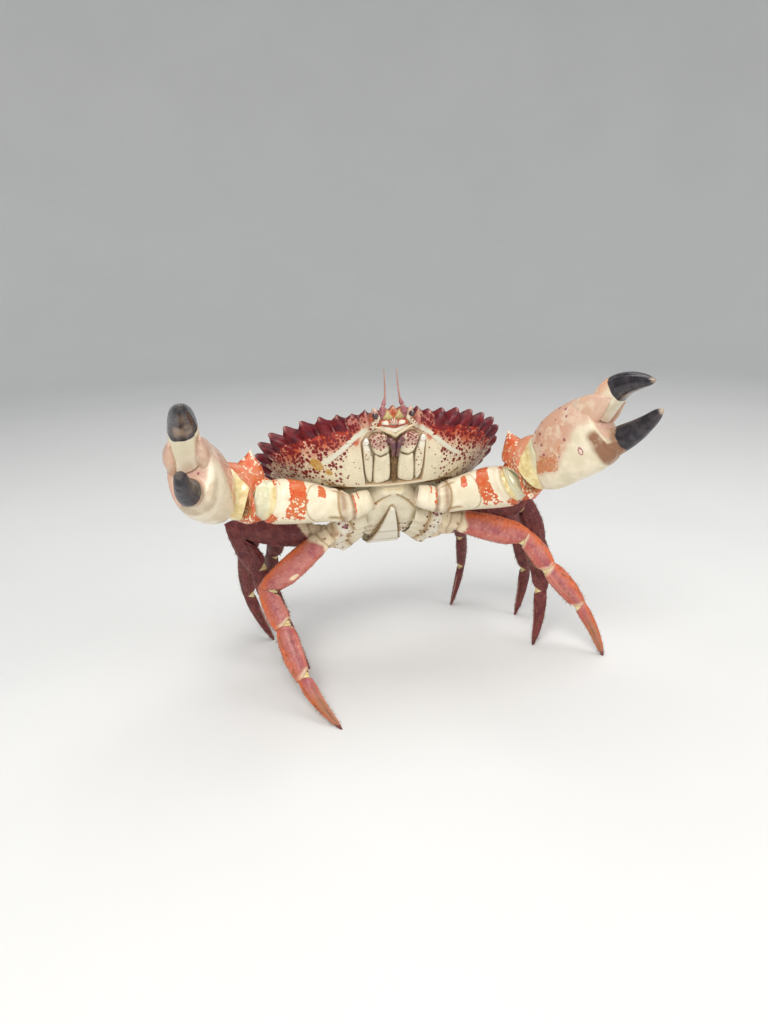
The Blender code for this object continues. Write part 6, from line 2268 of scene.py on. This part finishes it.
class CrabColours(bpy.types.PropertyGroup):
    """Main colours of the crab."""

    cream: FloatVectorProperty(
        name="Cream", description="Underside of the shell and breastplate",
        subtype="COLOR", size=3, min=0.0, max=1.0, default=(0.7, 0.62, 0.44),
    )
    claw_cream: FloatVectorProperty(
        name="Claw cream", description="Pale parts of the claws",
        subtype="COLOR", size=3, min=0.0, max=1.0, default=(0.8, 0.71, 0.54),
    )
    rust: FloatVectorProperty(
        name="Rust", description="Orange-red patches of the claws",
        subtype="COLOR", size=3, min=0.0, max=1.0, default=(0.58, 0.085, 0.022),
    )
    maroon: FloatVectorProperty(
        name="Maroon", description="Teeth of the shell's margin",
        subtype="COLOR", size=3, min=0.0, max=1.0, default=(0.075, 0.006, 0.012),
    )
    suture: FloatVectorProperty(
        name="Suture", description="Lines between the plates",
        subtype="COLOR", size=3, min=0.0, max=1.0, default=(0.36, 0.22, 0.08),
    )
    leg_pink: FloatVectorProperty(
        name="Leg pink", description="Flat sides of the walking legs",
        subtype="COLOR", size=3, min=0.0, max=1.0, default=(0.5, 0.175, 0.15),
    )
    leg_orange: FloatVectorProperty(
        name="Leg orange", description="Crests of the walking legs",
        subtype="COLOR", size=3, min=0.0, max=1.0, default=(0.66, 0.14, 0.04),
    )
    finger_black: FloatVectorProperty(
        name="Finger black", description="Horny ends of the claw fingers",
        subtype="COLOR", size=3, min=0.0, max=1.0, default=(0.016, 0.014, 0.019),
    )
    membrane: FloatVectorProperty(
        name="Joint skin", description="Soft skin at the joints",
        subtype="COLOR", size=3, min=0.0, max=1.0, default=(0.8, 0.68, 0.36),
    )


class CrabStudio(bpy.types.PropertyGroup):
    """Floor and lights."""

    floor: FloatVectorProperty(
        name="Floor", description="Colour of the studio floor",
        subtype="COLOR", size=3, min=0.0, max=1.0, default=(0.78, 0.78, 0.77),
    )
    key_light: FloatProperty(
        name="Key light", description="Power of the main lamp", default=13.0, min=0.0, unit="POWER",
    )
    fill_light: FloatProperty(
        name="Fill light", description="Strength of the light from all round", default=0.4, min=0.0,
    )


class CRAB_OT_materials(bpy.types.Operator):
    """Make the finishes"""

    bl_idname = "crab.materials"
    bl_label = "Materials"

    def execute(self, context):
        make_materials(context.scene.crab_colours)
        return {"FINISHED"}


class CRAB_OT_shell(bpy.types.Operator):
    """Make the shell with its toothed margin and lower fringe"""

    bl_idname = "crab.shell"
    bl_label = "Shell"

    def execute(self, context):
        build_shell(context.scene.crab_sizes)
        return {"FINISHED"}


class CRAB_OT_face(bpy.types.Operator):
    """Make the eyes, feelers and the plates between them"""

    bl_idname = "crab.face"
    bl_label = "Face"

    def execute(self, context):
        build_face()
        return {"FINISHED"}


class CRAB_OT_mouth(bpy.types.Operator):
    """Make the jaw-feet over the mouth"""

    bl_idname = "crab.mouth"
    bl_label = "Mouth"

    def execute(self, context):
        build_mouth()
        return {"FINISHED"}


class CRAB_OT_breast(bpy.types.Operator):
    """Make the breastplate and the bases of the walking legs"""

    bl_idname = "crab.breast"
    bl_label = "Breastplate"

    def execute(self, context):
        build_breast()
        return {"FINISHED"}


class CRAB_OT_tail(bpy.types.Operator):
    """Make the tail flap"""

    bl_idname = "crab.tail"
    bl_label = "Tail flap"

    def execute(self, context):
        build_tail()
        return {"FINISHED"}


class CRAB_OT_claws(bpy.types.Operator):
    """Make both claws"""

    bl_idname = "crab.claws"
    bl_label = "Claws"

    def execute(self, context):
        build_claws()
        return {"FINISHED"}


class CRAB_OT_legs(bpy.types.Operator):
    """Make the eight walking legs"""

    bl_idname = "crab.legs"
    bl_label = "Walking legs"

    def execute(self, context):
        build_legs()
        return {"FINISHED"}


class CRAB_OT_stage(bpy.types.Operator):
    """Make the floor, lights and camera"""

    bl_idname = "crab.stage"
    bl_label = "Stage"

    def execute(self, context):
        build_stage(context.scene.crab_studio)
        return {"FINISHED"}


STEPS = (
    CRAB_OT_materials, CRAB_OT_stage, CRAB_OT_shell, CRAB_OT_face, CRAB_OT_mouth,
    CRAB_OT_breast, CRAB_OT_tail, CRAB_OT_claws, CRAB_OT_legs,
)


class CRAB_PT_panel(bpy.types.Panel):
    """Sizes, colours and build steps of the crab"""

    bl_label = "Pacific rock crab"
    bl_idname = "CRAB_PT_panel"
    bl_space_type = "VIEW_3D"
    bl_region_type = "UI"
    bl_category = "Crab"

    def draw(self, context):
        scene = context.scene
        for group in (scene.crab_sizes, scene.crab_colours, scene.crab_studio):
            box = self.layout.box()
            for name in group.__annotations__:
                box.prop(group, name)
        for step in STEPS:
            self.layout.operator(step.bl_idname)


CLASSES = (CrabSizes, CrabColours, CrabStudio, *STEPS, CRAB_PT_panel)
SETTINGS = (("crab_sizes", CrabSizes), ("crab_colours", CrabColours), ("crab_studio", CrabStudio))


def register():
    for cls in CLASSES:
        bpy.utils.register_class(cls)
    for name, kind in SETTINGS:
        setattr(bpy.types.Scene, name, bpy.props.PointerProperty(type=kind))


def unregister():
    for name, _ in reversed(SETTINGS):
        delattr(bpy.types.Scene, name)
    for cls in reversed(CLASSES):
        bpy.utils.unregister_class(cls)


def main():
    register()
    for step in STEPS:
        group, name = step.bl_idname.split(".")
        if getattr(getattr(bpy.ops, group), name)() != {"FINISHED"}:
            raise RuntimeError(f"{step.bl_label} was not finished")


if __name__ == "__main__":
    main()
